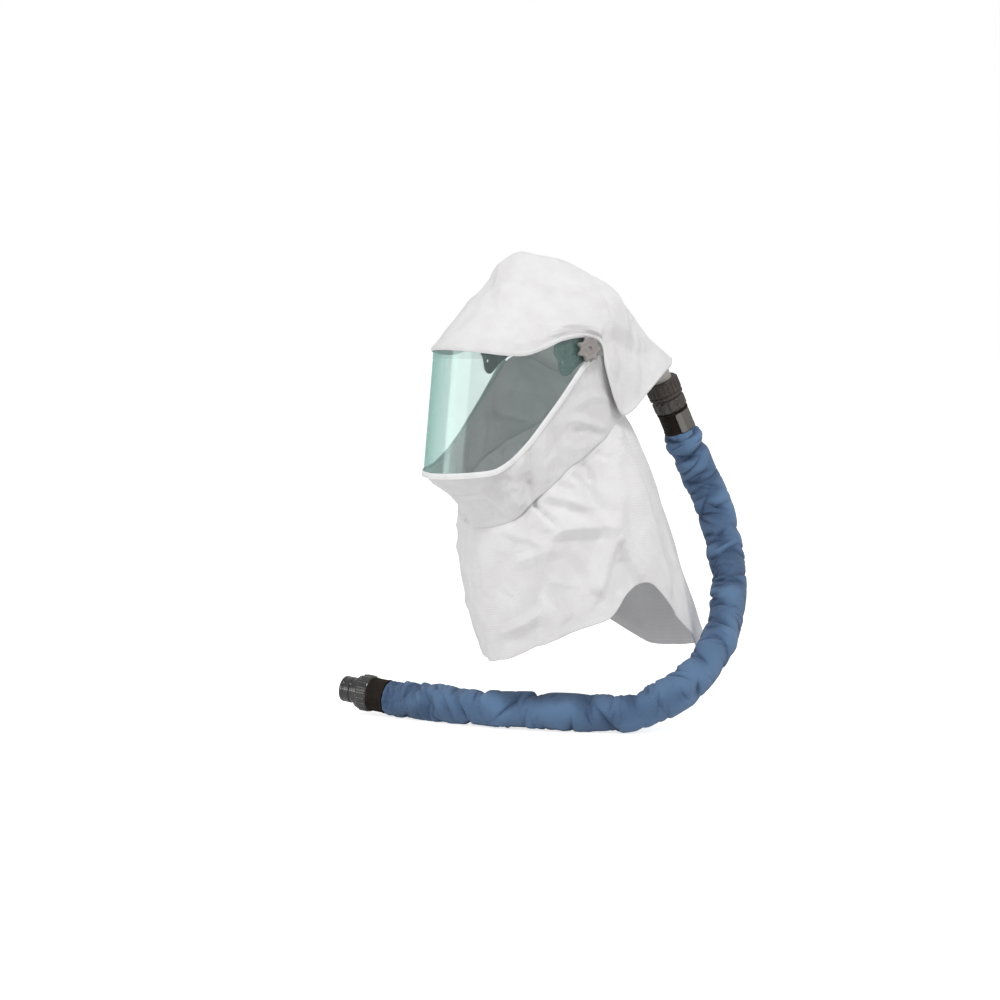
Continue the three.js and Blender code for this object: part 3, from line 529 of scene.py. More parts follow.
# Visor binding: a folded white tape sewn over the visor's lower edge and the collar's top edge.
# One row of stitches runs along its middle from knob to knob.
BINDING_WIDTH = 8.0
BINDING_THICKNESS = 1.2
BINDING_END_ARC = KNOB_ARC + 6
BINDING_COLUMNS = 360
BINDING_EDGE_RADIUS = 0.55
BINDING_CROWN = 0.35
BINDING_RIPPLE = 0.18
STITCH_SPACING = 3.2
STITCH_LENGTH = 2.3
STITCH_THICKNESS = 0.55
STITCH_END_GAP = 4.0
STITCH_BELOW_MIDDLE = 0.6
STITCH_PROUD = 0.4
STITCH_LINE_POINTS = 500


def binding_point(arc, across, out):
    """A point of the tape by distance along it, across it from its middle and out from the visor."""
    reach = np.abs(arc)
    step = 0.5
    z = smooth_rows(BINDING_LINE, reach)[..., 1]
    slope = (smooth_rows(BINDING_LINE, reach + step)[..., 1] - z) / step
    tilt = np.hypot(1, slope)
    shifted = np.maximum(reach - across * slope / tilt, 1e-9)
    return face_point(np.where(arc < 0, -1, 1) * shifted, z + across / tilt, out)


def binding_mesh():
    section = rounded_rectangle(BINDING_WIDTH, BINDING_THICKNESS, BINDING_EDGE_RADIUS)
    arc = np.linspace(-BINDING_END_ARC, BINDING_END_ARC, BINDING_COLUMNS + 1)[:, None]
    upper = section[:, 1] > 0
    rise = BINDING_CROWN * (1 - (2 * section[:, 0] / BINDING_WIDTH) ** 2) * upper
    ripple = BINDING_RIPPLE * np.sin(arc * 1.9) * np.sin(arc * 0.37 + 1) * upper
    out = CLEARANCE + BINDING_THICKNESS / 2 + section[:, 1] + rise + ripple
    return grid_mesh("binding_tape", binding_point(arc, section[:, 0], out), wrap_columns=True, caps=True)


def geometry_tree(name, sizes):
    """A new Geometry Nodes tree with a named input for each size, and its wires by name."""
    tree = bpy.data.node_groups.new(name, "GeometryNodeTree")
    for label, kind in [("Geometry", "Geometry"), *sizes.items(), ("Material", "Material")]:
        tree.interface.new_socket(label, in_out="INPUT", socket_type=f"NodeSocket{kind}")
    tree.interface.new_socket("Geometry", in_out="OUTPUT", socket_type="NodeSocketGeometry")
    given = tree.nodes.new("NodeGroupInput")
    return tree, {socket.name: Wire(tree, socket) for socket in given.outputs if socket.name}


def end_tree(tree, instances, material):
    real = instances.node("GeometryNodeRealizeInstances", None, {0: instances})
    painted = real.node("GeometryNodeSetMaterial", None, {"Geometry": real, "Material": material})
    result = tree.nodes.new("NodeGroupOutput")
    tree.links.new(painted.socket, result.inputs[0])


def stitch_tree():
    """Short round threads laid along a line, one at each spacing."""
    tree, given = geometry_tree("stitch_row", {"Spacing": "Float", "Length": "Float", "Thickness": "Float"})
    wire = Wire(tree)
    line = wire.node("GeometryNodeMeshToCurve", None, {"Mesh": given["Geometry"]})
    points = tree.nodes.new("GeometryNodeCurveToPoints")
    points.mode = "LENGTH"
    tree.links.new(line.socket, points.inputs["Curve"])
    tree.links.new(given["Spacing"].socket, points.inputs["Length"])
    along = Wire(tree, points.outputs["Tangent"])
    turn = wire.node("FunctionNodeAlignRotationToVector", {"axis": "X"}, {"Vector": along})
    thread = wire.node("GeometryNodeMeshIcoSphere", None, {"Radius": 0.5, "Subdivisions": 2})
    sizes = {"X": given["Length"], "Y": given["Thickness"], "Z": given["Thickness"]}
    scale = wire.node("ShaderNodeCombineXYZ", None, sizes)
    threads = wire.node("GeometryNodeInstanceOnPoints", None, {
        "Points": Wire(tree, points.outputs["Points"]), "Instance": thread, "Rotation": turn, "Scale": scale,
    })
    end_tree(tree, threads, given["Material"])
    return tree


def grown_mesh(name, tree, base, values):
    """What a tree makes of a mesh, as a plain mesh."""
    holder = linked(name, base)
    growth = holder.modifiers.new(name, "NODES")
    growth.node_group = tree
    for item in tree.interface.items_tree:
        if item.in_out == "INPUT" and item.name in values:
            growth[item.identifier] = values[item.name]
    mesh = evaluated_mesh(holder)
    holder.modifiers.remove(growth)
    bpy.data.objects.remove(holder)
    bpy.data.meshes.remove(base)
    mesh.name = name
    mesh.shade_smooth()
    return mesh


def stitches(name, line, material):
    """A row of stitches along a line of points."""
    base = bpy.data.meshes.new(name)
    base.from_pydata((line * MM).tolist(), [(i, i + 1) for i in range(len(line) - 1)], [])
    values = {"Spacing": STITCH_SPACING, "Length": STITCH_LENGTH, "Thickness": STITCH_THICKNESS}
    scaled = {key: value * MM for key, value in values.items()}
    mesh = grown_mesh(name, stitch_row, base, scaled | {"Material": material})
    return add_piece(mesh, material, "hood", "white_binding")


def tape_material():
    def paint(wire):
        place = own_place(wire)
        soil = eased(noise(place, scale=55.0, detail=4.0), low=0.45, high=0.75)
        fibre = noise(place, scale=1300.0, detail=3.0)
        return {
            "Base Color": soil.mix((0.86, 0.86, 0.86, 1), (0.79, 0.785, 0.79, 1)),
            "Roughness": 0.62 + fibre * 0.2,
            "Normal": bumped(fibre, strength=0.35, distance=0.0003),
        }

    return finished("white_tape", paint)


def thread_material():
    def paint(wire):
        place = own_place(wire)
        twist = noise(place, scale=2600.0, detail=2.0)
        return {
            "Base Color": twist.mix((0.72, 0.72, 0.74, 1), (0.86, 0.86, 0.86, 1)),
            "Roughness": 0.5 + twist * 0.2,
        }

    return finished("white_thread", paint)


white_thread = thread_material()
stitch_row = stitch_tree()
binding = add_piece(binding_mesh(), tape_material(), "hood", "white_binding", "visor_binding")
stitched_end = BINDING_END_ARC - STITCH_END_GAP
stitched = np.linspace(-stitched_end, stitched_end, STITCH_LINE_POINTS)
binding_line = binding_point(stitched, -STITCH_BELOW_MIDDLE, CLEARANCE + BINDING_THICKNESS + STITCH_PROUD)
binding_stitches = stitches("binding_stitches", binding_line, white_thread)


# Star knobs: moulded grey hand knobs with seven lobes, one at each end of the visor.
# Each turns on a threaded stud that clamps the visor to the bracket behind it.
KNOB_LOBE = 2.5
KNOB_LOBES = 7
KNOB_LOBE_POINT = 0.22
KNOB_SEGMENTS = 168
# Each ring of points from the stud's end up and over the knob: radius, share of the lobes, height.
KNOB_PROFILE = [
    (0, 0, -9), (2.2, 0, -9), (2.9, 0, -8.3), (3, 0, -7.8), (3, 0, -1), (3, 0, 0.2), (3.2, 0, 0.4),
    (5.6, 0, 0.4), (6, 0, 0.9), (6, 0, 4), (6.4, 0, 4.4), (9, 0.2, 4.4), (13.2, 0.8, 4.5),
    (14.6, 0.95, 4.8), (15.2, 1, 5.4), (15.4, 1, 6.2), (15.4, 1, 10.4), (15.2, 1, 11.2), (14.6, 0.95, 11.9),
    (13.6, 0.85, 12.3), (12.4, 0.75, 12.35), (11, 0.55, 12.1), (9, 0.3, 11.7), (7.4, 0.1, 11.6),
    (6.6, 0, 11.8), (6.2, 0, 12.2), (5.6, 0, 12.4), (4, 0, 12.4), (3.5, 0, 12.3), (3.2, 0, 12.0),
    (3.1, 0, 10.8), (2.8, 0, 10.4), (1.2, 0, 10.4), (0, 0, 10.4),
]


def knob_mesh(name, side):
    angle = np.linspace(0, 2 * np.pi, KNOB_SEGMENTS, endpoint=False)
    radius, lobed, height = np.array(KNOB_PROFILE).T[..., None]
    wave = np.cos(KNOB_LOBES * angle)
    lobe = KNOB_LOBE * (wave + KNOB_LOBE_POINT * np.cos(2 * KNOB_LOBES * angle) - KNOB_LOBE_POINT)
    reach = radius + lobed * lobe
    local = np.stack([reach * np.cos(angle), reach * np.sin(angle), height + 0 * angle], axis=-1)
    return grid_mesh(name, placed(side_frame(side), local), wrap_columns=True)


knob_plastic = moulded_plastic(
    "knob_plastic", (0.255, 0.23, 0.22, 1), (0.42, 0.39, 0.375, 1), roughness=0.46
)
for side_name, side in SIDES.items():
    star = knob_mesh(f"knob_star_{side_name}", side)
    add_piece(star, knob_plastic, f"knob_{side_name}", "knob_plastic", f"knob_{side_name}")


# Collar: a band of ribbed white non-woven cloth sewn under the visor's binding and round the neck.
# It narrows to the neck seam, creased where it is pulled in under the chin and beside the jaw.
CLOTH = 1.2
# Points of the neck seam from front to back, then how far the collar sinks in and the bib swells out there.
NECK_SEAM = np.array([
    (0, -125, -275, 18, 8), (40, -119, -271, 17, 8), (67, -110, -262, 13, 8), (82, -103, -252, 8, 7),
    (96, -92, -233, 4, 6), (105, -70, -215, 1, 5), (110, -44, -191, 0, 5), (111, -20, -176, 0, 5),
    (110, 0, -163, 0, 5), (101, 30, -148, 0, 5), (83, 59, -132, 0, 8), (64, 84, -126, 0, 11),
    (42, 101, -121, 0, 13), (20, 111, -119, 0, 14), (0, 114, -118, 0, 14),
], float)
COLLAR_FACE_ARCS = np.array([0, 40, 75, 100, 120, 148, 176, 204, 226], float)
COLLAR_BACK = np.array([
    (98, 22, -38), (80, 54, -56), (60, 78, -70), (40, 94, -80), (20, 103, -86), (0, 106, -88),
])
COLLAR_UNDER_BINDING = 2.0
COLLAR_COLUMNS = 300
COLLAR_ROWS = 56
LAST_SEAM_ROW = len(NECK_SEAM) - 1
# Each fold: places along the seam, shares of the way down, height, and reach to its left and right.
COLLAR_FOLDS = [
    ((1.52, 1.63, 2.06), (0.17, 0.5, 0.84), 4.5, 11, 4),
    ((4.3, 4.1, 3.97, 3.9), (0.5, 0.76, 1.0, 1.16), -8, 5, 5),
    ((4.43, 3.5), (0.04, 0.53), 4.5, 7, 6),
    ((4.82, 4.16), (0.12, 0.76), -5.5, 6, 6),
    ((5.37, 4.9), (0.21, 0.88), 6, 8, 7),
    ((6.42, 7.74, 8.83), (0.36, 0.69, 0.9), 5, 6, 8),
    ((6.73, 7.86, 8.67), (0.62, 0.77, 0.95), -3.5, 5, 5),
    ((5.95, 6.57, 7.62), (0.55, 0.82, 0.94), 3, 6, 6),
    ((6.88, 8.1, 9.33), (0.31, 0.42, 0.56), 3, 7, 6),
    ((2.9, 3.4), (0.3, 0.95), 4, 9, 7),
    ((5.9, 5.6), (0.15, 0.95), -5, 8, 7),
]
CHIN_FOLD = ((-1.28, 0, 1.28), (0.39, 0.40, 0.39), -3.2, 3, 4)
COLLAR_FOLD_DRIFT = 0.3
FOLD_SAMPLES = 41
FOLD_WIDTH = 1.7
FOLD_END_HEIGHT = 0.35
FOLD_END_RISE = 5
RIGHT_FOLD_HEIGHT = 0.85
CRUMPLE_JITTER = 0.42
FLAT_TRIANGLE = 1e-9
# How far down from the top seam and up from the neck seam the cloth is held flat, as shares of its depth,
# the slack that is left at the neck seam, and the depth and the reach of the tuck there.
COLLAR_HELD_TOP = 0.14
COLLAR_HELD_SEAM = 0.16
COLLAR_SEAM_SLACK = 0.12
COLLAR_TUCK = 1.0
COLLAR_TUCK_REACH = 0.03
PUCKER = NECK_SEAM[4, :3]
COLLAR_PUCKER = 4.0
BIB_PUCKER = 11.0
PUCKER_REACH = 7.0
RIB_PITCH = 4.4
CLOTH_WHITE = np.array([0.80, 0.793, 0.793])
CLOTH_MOTTLE = np.array([0.765, 0.748, 0.755])
RIB_COLOUR = (0.65, 0.63, 0.65, 1)


def mirrored_loop(half, place):
    """A closed loop given front to back on the left. Place 0 is the front, +1 and -1 are the back."""
    last = len(half) - 1
    ghost = half * np.array([-1] + [1] * (half.shape[1] - 1))
    rows = np.column_stack([np.arange(-1, last + 2), np.vstack([ghost[1], half, ghost[last - 1]])])
    row = smooth_rows(rows, np.abs(place) * last)[..., 1:]
    row[..., 0] *= np.where(place < 0, -1, 1)
    return row


collar_heights = smooth_rows(BINDING_LINE, COLLAR_FACE_ARCS)[:, 1] - COLLAR_UNDER_BINDING
COLLAR_TOP = np.vstack([face_point(COLLAR_FACE_ARCS, collar_heights, -2 * CLEARANCE), COLLAR_BACK])


def stretched_point(upper, lower, swell, down):
    """Cloth stretched from one loop to the next and swelled out between them."""
    point = upper + (lower - upper) * down[..., None]
    out = point * np.array([1, 1, 0])
    out /= np.linalg.norm(out, axis=-1, keepdims=True)
    return point + out * (swell * 4 * down * (1 - down))[..., None]


def collar_point(down, place):
    lower = mirrored_loop(NECK_SEAM, place)
    return stretched_point(mirrored_loop(COLLAR_TOP, place), lower[..., :3], -lower[..., 3], down)


def cloth_places(rows, columns):
    return np.meshgrid(np.linspace(0, 1, rows + 1), np.linspace(-1, 1, columns + 1), indexing="ij")


def outward(points):
    """The way out of a closed band of cloth at each point."""
    along = np.gradient(points, axis=1)
    along[:, 0] = along[:, -1] = points[:, 1] - points[:, -2]
    normal = np.cross(np.gradient(points, axis=0), along)
    length = np.linalg.norm(normal, axis=-1, keepdims=True)
    return normal / np.maximum(length, 1e-9)


def crumpled(spots, spacing, height, softness, seed):
    """Height of angular, paper-like crumples: a net of triangles whose corners are raised at random."""
    draw = np.random.default_rng(seed)
    low = spots.min((0, 1)) - 2 * spacing
    counts = np.ceil((spots.max((0, 1)) + 2 * spacing - low) / spacing).astype(int)
    cells = np.stack(np.meshgrid(*map(np.arange, counts), indexing="ij"), axis=-1).reshape(-1, 2)
    knots = low + (cells + draw.uniform(-CRUMPLE_JITTER, CRUMPLE_JITTER, cells.shape)) * spacing
    raised = draw.normal(0, height, len(knots))
    net = delaunay_2d_cdt([Vector(knot) for knot in knots], [], [], 0, 1e-6)
    corners = np.array([tuple(point) for point in net[0]])
    raised = raised[[origin[0] for origin in net[3]]]
    flat = spots.reshape(-1, 2)
    total = np.zeros(len(flat))
    shifts = [(0, 0)] + [(np.cos(a) * softness, np.sin(a) * softness) for a in np.radians(range(0, 360, 60))]
    for shift in shifts:
        moved = flat + shift
        order = np.argsort(moved[:, 0])
        sorted_x = moved[order, 0]
        for triangle in net[2]:
            a, b, c = corners[list(triangle)]
            start, stop = np.searchsorted(sorted_x, [min(a[0], b[0], c[0]), max(a[0], b[0], c[0])])
            near = order[start:stop]
            gap = moved[near] - a
            to_b, to_c = b - a, c - a
            area = to_b[0] * to_c[1] - to_b[1] * to_c[0]
            if abs(area) < FLAT_TRIANGLE:
                continue
            second = (gap[:, 0] * to_c[1] - gap[:, 1] * to_c[0]) / area
            third = (gap[:, 1] * to_b[0] - gap[:, 0] * to_b[1]) / area
            inside = (second >= 0) & (third >= 0) & (second + third < 1)
            share = np.stack([1 - second - third, second, third], axis=-1)[inside]
            total[near[inside]] += share @ raised[list(triangle)]
    return (total / len(shifts)).reshape(spots.shape[:2])


def round_map(down, place, inner, outer):
    """Spots on a flat ring, so that crumples meet without a break at the middle of the back."""
    reach = inner + down * (outer - inner)
    return np.stack([reach * np.sin(place * np.pi), -reach * np.cos(place * np.pi)], axis=-1)


def folded(points, normals, surface, last, folds):
    """Height of the pressed folds of a table, each a ridge or valley along a line on the cloth."""
    total = np.zeros(points.shape[:2])
    for stations, downs, height, left, right in folds:
        share = np.linspace(0, 1, FOLD_SAMPLES)
        knots = np.linspace(0, 1, len(stations))
        line = surface(np.interp(share, knots, downs), np.interp(share, knots, stations) / last)
        run = np.gradient(line, axis=0)
        gap = points[..., None, :] - line
        squared = (gap * gap).sum(-1)
        nearest = squared.argmin(-1)
        distance = np.sqrt(np.take_along_axis(squared, nearest[..., None], -1)[..., 0])
        towards = np.take_along_axis(gap, nearest[..., None, None], -2)[..., 0, :]
        on_left = (towards * np.cross(normals, run[nearest])).sum(-1) > 0
        width = np.where(on_left, left, right)
        fade = np.minimum(1, FOLD_END_RISE * np.minimum(share, 1 - share) + FOLD_END_HEIGHT)[nearest]
        total += height * fade * np.maximum(0, 1 - distance / (FOLD_WIDTH * width))
    return total


def puckered(points, depth):
    """Depth of the dimple on each side where the neck seam is caught and pulls both cloths in."""
    from_pucker = np.concatenate([np.abs(points[..., :1]), points[..., 1:]], axis=-1) - PUCKER
    return -depth * np.exp(-np.linalg.norm(from_pucker, axis=-1) / PUCKER_REACH)


def both_sides(folds, drift):
    """The folds of the left side and, drifted a little so that the sides differ, those of the right."""
    right = []
    for stations, downs, height, left_reach, right_reach in folds:
        moved = tuple(-station - drift for station in stations)
        right.append((moved, downs, height * RIGHT_FOLD_HEIGHT, right_reach, left_reach))
    return [*folds, *right]


def hump(at, height, middle, width):
    """A smooth rise of some height about a middle, gone at about twice its width."""
    return height * np.exp(-(((at - middle) / width) ** 2))


def woven_uv(points, down, place):
    """Distances along and down the cloth in metres, for its ribs."""
    around = np.linalg.norm(np.diff(points, axis=1), axis=-1).sum(1).mean()
    depth = np.linalg.norm(np.diff(points, axis=0), axis=-1).sum(0).mean()
    return np.stack([place * around / 2, -down * depth], axis=-1) * MM


def cloth_piece(name, points, uv, material, node):
    """A closed band of cloth of even thickness, in place of its solid."""
    mesh = grid_mesh(name, points[:, :-1], wrap_columns=True, uv=uv)
    piece = add_piece(mesh, material, "hood", "white_cloth", node)
    wall = piece.modifiers.new("wall", "SOLIDIFY")
    wall.thickness = CLOTH * MM
    wall.offset = -1
    return piece


def ribbed_cloth(name, rib_turn, rib_depth, white=1.0):
    """White non-woven cloth with fine pressed ribs, faint mottling and a dull, papery surface."""

    def paint(wire):
        place = own_place(wire)
        spot = wire.node("ShaderNodeUVMap", {"uv_map": "weave"})
        rib_angle = (0, 0, np.radians(rib_turn))
        turned = wire.node("ShaderNodeMapping", None, {"Vector": spot, "Rotation": rib_angle})
        across = wire.node("ShaderNodeSeparateXYZ", None, {0: turned}, "Y")
        wander = noise(place, scale=60.0) * 0.9
        rib = wire.math("SINE", across * (2 * np.pi / (RIB_PITCH * MM)) + wander) * 0.5 + 0.5
        line = eased(rib, low=0.55, high=0.95)
        mottle = eased(noise(place, scale=38.0, detail=5.0), low=0.35, high=0.7)
        fibre = noise(place, scale=900.0, detail=4.0)
        paper = mottle.mix((*(CLOTH_WHITE * white), 1), (*(CLOTH_MOTTLE * white), 1))
        return {
            "Base Color": (line * (0.15 * rib_depth)).mix(paper, RIB_COLOUR),
            "Roughness": 0.66 + fibre * 0.16,
            "Subsurface Weight": 0.4,
            "Subsurface Radius": (1, 1, 1),
            "Subsurface Scale": 0.002,
            "Normal": bumped(rib * rib_depth * 0.5 + fibre * 0.35, strength=0.45, distance=0.0006),
        }

    return finished(name, paint)


down, place = cloth_places(COLLAR_ROWS, COLLAR_COLUMNS)
collar_flat = collar_point(down, place)
collar_out = outward(collar_flat)
collar_spots = round_map(down, place, inner=105, outer=190)
relief = crumpled(collar_spots, spacing=40, height=3.2, softness=1.6, seed=11)
relief += crumpled(collar_spots, spacing=20, height=0.9, softness=1.0, seed=12)
collar_folds = [CHIN_FOLD, *both_sides(COLLAR_FOLDS, COLLAR_FOLD_DRIFT)]
relief += folded(collar_flat, collar_out, collar_point, LAST_SEAM_ROW, collar_folds)
held = np.minimum(1, down / COLLAR_HELD_TOP)
held *= np.minimum(1, (1 - down) / COLLAR_HELD_SEAM + COLLAR_SEAM_SLACK)
pulled_in = puckered(collar_flat, COLLAR_PUCKER) - hump(1 - down, COLLAR_TUCK, 0, COLLAR_TUCK_REACH)
collar_points = collar_flat + collar_out * (relief * held + pulled_in)[..., None]
# The collar's cloth is painted darker than the bib's and the crown's, as painted shade where it slopes in
# under the crown and the chin.
collar_cloth_painted_shade = ribbed_cloth("collar_cloth_painted_shade", rib_turn=-60, rib_depth=0.9, white=0.89)
collar = cloth_piece("collar_band", collar_points, woven_uv(collar_flat, down, place), collar_cloth_painted_shade, "collar")


# Shoulder bib: a wide skirt of the same cloth, gathered into the neck seam, over the chest and back.
# It hangs free to an arched hem on each side, with long angular creases from being folded flat.
BIB_HEM = np.array([
    (0, -100, -461), (30, -94, -456), (60, -82, -445), (90, -69, -431), (115, -52, -418), (134, -26, -404),
    (147, 3, -391), (152, 30, -358), (151, 52, -348), (146, 78, -357), (124, 133, -402), (98, 182, -440),
    (70, 228, -470), (38, 259, -478), (0, 271, -474),
], float)
SEAM_ALLOWANCE = 4.0
BIB_COLUMNS = 300
BIB_ROWS = 124
# The crumples are lower over its front, a little to the wearer's right of the middle.
BIB_CALM = 0.7
BIB_CALM_PLACE = -0.12
BIB_CALM_REACH = 0.14
BIB_GATHERS = 1.1
BIB_GATHER_REACH = 0.09
GATHER_WAVES = 16
BIB_HELD_SEAM = 0.05
BIB_SEAM_SLACK = 0.3
BIB_TUCK = 2.8
BIB_TUCK_REACH = 0.012
SEAM_ALLOWANCE_REACH = 0.01
HEM_FOLD = 0.7
HEM_FOLD_PLACE = 0.972
HEM_FOLD_STEP = 0.002
HEM_STITCH_PROUD = 0.15
BIB_FOLD_DRIFT = 0.25
BIB_FOLDS = [
    ((3.6, 3.97, 4.39, 4.85), (-0.12, 0.0, 0.11, 0.26), -10, 4, 4),
    ((4.39, 5.37, 6.53), (0.03, 0.18, 0.41), -4.5, 6, 6),
    ((5.44, 6.03), (0.02, 0.14), -3.5, 4, 4),
    ((6.07, 6.53, 6.84), (0.03, 0.12, 0.23), -5, 5, 5),
    ((7.08, 7.19, 7.16), (0.02, 0.1, 0.17), -4, 4, 4),
    ((8.13, 8.67), (0.03, 0.12), -3, 4, 5),
    ((4.9, 5.83, 6.77), (0.03, 0.2, 0.35), 4, 5, 5),
    ((4.74, 5.72, 6.73, 7.27), (0.27, 0.36, 0.47, 0.57), 11, 14, 9),
    ((4.36, 4.74), (0.07, 0.27), 4, 5, 9),
    ((8.05, 7.08), (0.04, 0.3), 3.5, 5, 5),
    ((9.22, 8.52, 7.39), (0.04, 0.26, 0.57), 4.5, 10, 8),
    ((5.25, 5.56, 5.79), (0.43, 0.62, 0.8), 3.5, 8, 8),
    ((1.63, 3.38, 4.2), (0.04, 0.21, 0.35), 3.5, 8, 5),
    ((4.2, 4.71), (0.35, 0.28), 3, 6, 6),
    ((2.18, 3.46, 4.71), (0.3, 0.34, 0.4), 3.5, 6, 8),
    ((7.27, 6.3, 5.64), (0.59, 0.69, 0.83), 9, 6, 14),
    ((7.27, 7.58, 7.86), (0.59, 0.81, 0.99), 8, 9, 6),
    ((6.98, 6.55), (0.74, 0.95), -7, 8, 8),
    ((9.35, 9.5, 9.6, 9.7), (0.02, 0.4, 0.75, 1.0), 9, 14, 26),
    ((0.19, 0.08), (0.2, 0.5), -2.6, 5, 5),
    ((1.13, 2.53, 3.11), (0.8, 0.79, 0.75), 3.5, 8, 6),
    ((1.17, 3.2), (0.88, 0.86), -3, 9, 9),
    ((1.24, 1.79), (0.48, 0.58), -2, 5, 5),
    ((11.4, 12.4), (0.25, 0.95), -4, 18, 14),
    ((13.0, 13.3), (0.1, 0.8), 3, 14, 14),
]


def bib_point(down, place):
    upper = mirrored_loop(NECK_SEAM, place)
    top = upper[..., :3] - np.array([0, 0, CLEARANCE + CLOTH])
    return stretched_point(top, mirrored_loop(BIB_HEM, place), upper[..., 4], down)


def gathers(place, count, seed):
    """Uneven small waves round a seam, from the cloth that is gathered into it."""
    draw = np.random.default_rng(seed)
    waves = np.zeros_like(place)
    for wave in range(count, count + GATHER_WAVES):
        waves += np.sin(wave * np.pi * place + draw.uniform(0, 2 * np.pi)) * draw.uniform(0.4, 1)
    return waves / 4


down, place = cloth_places(BIB_ROWS, BIB_COLUMNS)
bib_flat = bib_point(down, place)
bib_out = outward(bib_flat)
bib_spots = round_map(down, place, inner=110, outer=270)
relief = crumpled(bib_spots, spacing=58, height=4.8, softness=1.8, seed=21)
relief += crumpled(bib_spots, spacing=24, height=1.3, softness=1.2, seed=22)
relief *= 1 - hump(place, BIB_CALM, BIB_CALM_PLACE, BIB_CALM_REACH)
relief += folded(bib_flat, bib_out, bib_point, LAST_SEAM_ROW, both_sides(BIB_FOLDS, BIB_FOLD_DRIFT))
relief += BIB_GATHERS * gathers(place, count=22, seed=23) * np.exp(-down / BIB_GATHER_REACH)
held = np.minimum(1, down / BIB_HELD_SEAM + BIB_SEAM_SLACK)
pulled_in = puckered(bib_flat, BIB_PUCKER) - hump(down, BIB_TUCK, 0, BIB_TUCK_REACH)
hem_fold = HEM_FOLD / (1 + np.exp(-(down - HEM_FOLD_PLACE) / HEM_FOLD_STEP))
bib_points = bib_flat + bib_out * (relief * held + pulled_in + hem_fold)[..., None]
bib_points[..., 2] += hump(down, CLEARANCE + CLOTH + SEAM_ALLOWANCE, 0, SEAM_ALLOWANCE_REACH)
bib_cloth = ribbed_cloth("bib_cloth", rib_turn=0, rib_depth=1.0)
bib = cloth_piece("bib_skirt", bib_points, woven_uv(bib_flat, down, place), bib_cloth, "bib")
hem_row = round(HEM_FOLD_PLACE * BIB_ROWS)
bib_hem_line = bib_points[hem_row] + bib_out[hem_row] * HEM_STITCH_PROUD
bib_stitches = stitches("bib_hem_stitches", bib_hem_line, white_thread)


# Crown: the same cloth over the head, peaked in front and drawn out behind into a tail.
# The tail roofs the air inlet, and the brow's hem is clipped over the visor's top edge.
CROWN_APEX = np.array([0, -34, 108.0])
TEMPLE_HEIGHT = 2.0
DOME_SHARE = 0.74
CROWN_EVENING = 0.34
EVENING_SAMPLES = 8
BROW_OUT = 2.6
HEM_DROP = 6.0
# Points of the hem behind the visor, then the front slope's and the tail's shares there.
CROWN_REAR = np.array([
    (111, 16, -50, 0, 0), (107, 30, -84, 0, 0), (98, 49, -110, 0, 0.05), (87, 67, -121, 0, 0.1),
    (83, 86, -114, 0, 0.2), (75, 108, -100, 0, 0.3), (64, 137, -81, 0, 0.45), (46, 169, -64, 0, 0.65),
    (24, 199, -53, 0, 0.85), (0, 214, -48, 0, 1),
], float)
# Step down, then the share of the way out and of the drop for the front slope, the dome and the tail.
CROWN_PROFILE = np.array([
    (0, 0, 0, 0, 0, 0, 0),
    (0.14, 0.15, 0.04, 0.22, 0.03, 0.12, 0.02),
    (0.28, 0.3, 0.15, 0.43, 0.1, 0.26, 0.1),
    (0.42, 0.4, 0.33, 0.61, 0.21, 0.4, 0.23),
    (0.56, 0.53, 0.45, 0.77, 0.36, 0.54, 0.39),
    (0.7, 0.69, 0.61, 0.89, 0.55, 0.69, 0.6),
    (0.85, 0.88, 0.82, 0.97, 0.77, 0.85, 0.8),
    (1, 1, 1, 1, 1, 1, 1),
])
CROWN_COLUMNS = 312
CROWN_ROWS = 96
HEM_ROWS = 8
HEM_ROLL = 0.9
HEM_ROLL_LENGTH = 1.15
HEM_SHIFT_EASE = 0.5
HEM_DEPTH = 0.03
CROWN_STITCH_PROUD = 0.1
CROWN_GATHERS = 0.8
CROWN_GATHER_REACH = 0.05
CROWN_GATHERED_FROM = 0.42
CROWN_HELD_HEM = 0.1
CROWN_HEM_SLACK = 0.25
CROWN_FOLD_DRIFT = 0.3
CROWN_FOLDS = [
    ((5.15, 6.0, 6.9, 7.9, 8.7), (0.93, 0.80, 0.73, 0.75, 0.83), 6, 24, 5),
    ((10.0, 12.25, 14.2, 16.15), (0.78, 0.79, 0.83, 0.88), -6, 13, 15),
    ((10.5, 10.9), (0.80, 0.9), 3, 7, 7),
    ((9.2, 10.0, 11.2), (0.84, 0.92, 0.97), -3.5, 9, 9),
    ((12.6, 13.4), (0.86, 0.97), 2.5, 10, 8),
    ((8.7, 9.4), (0.66, 0.86), -2.5, 8, 10),
]
brow = face_point(CROWN_BROW[:, 0], CROWN_BROW[:, 1], BROW_OUT)
CROWN_EDGE = np.vstack([np.column_stack([brow, CROWN_BROW[:, 2:]]), CROWN_REAR])
LAST_CROWN_ROW = len(CROWN_EDGE) - 1


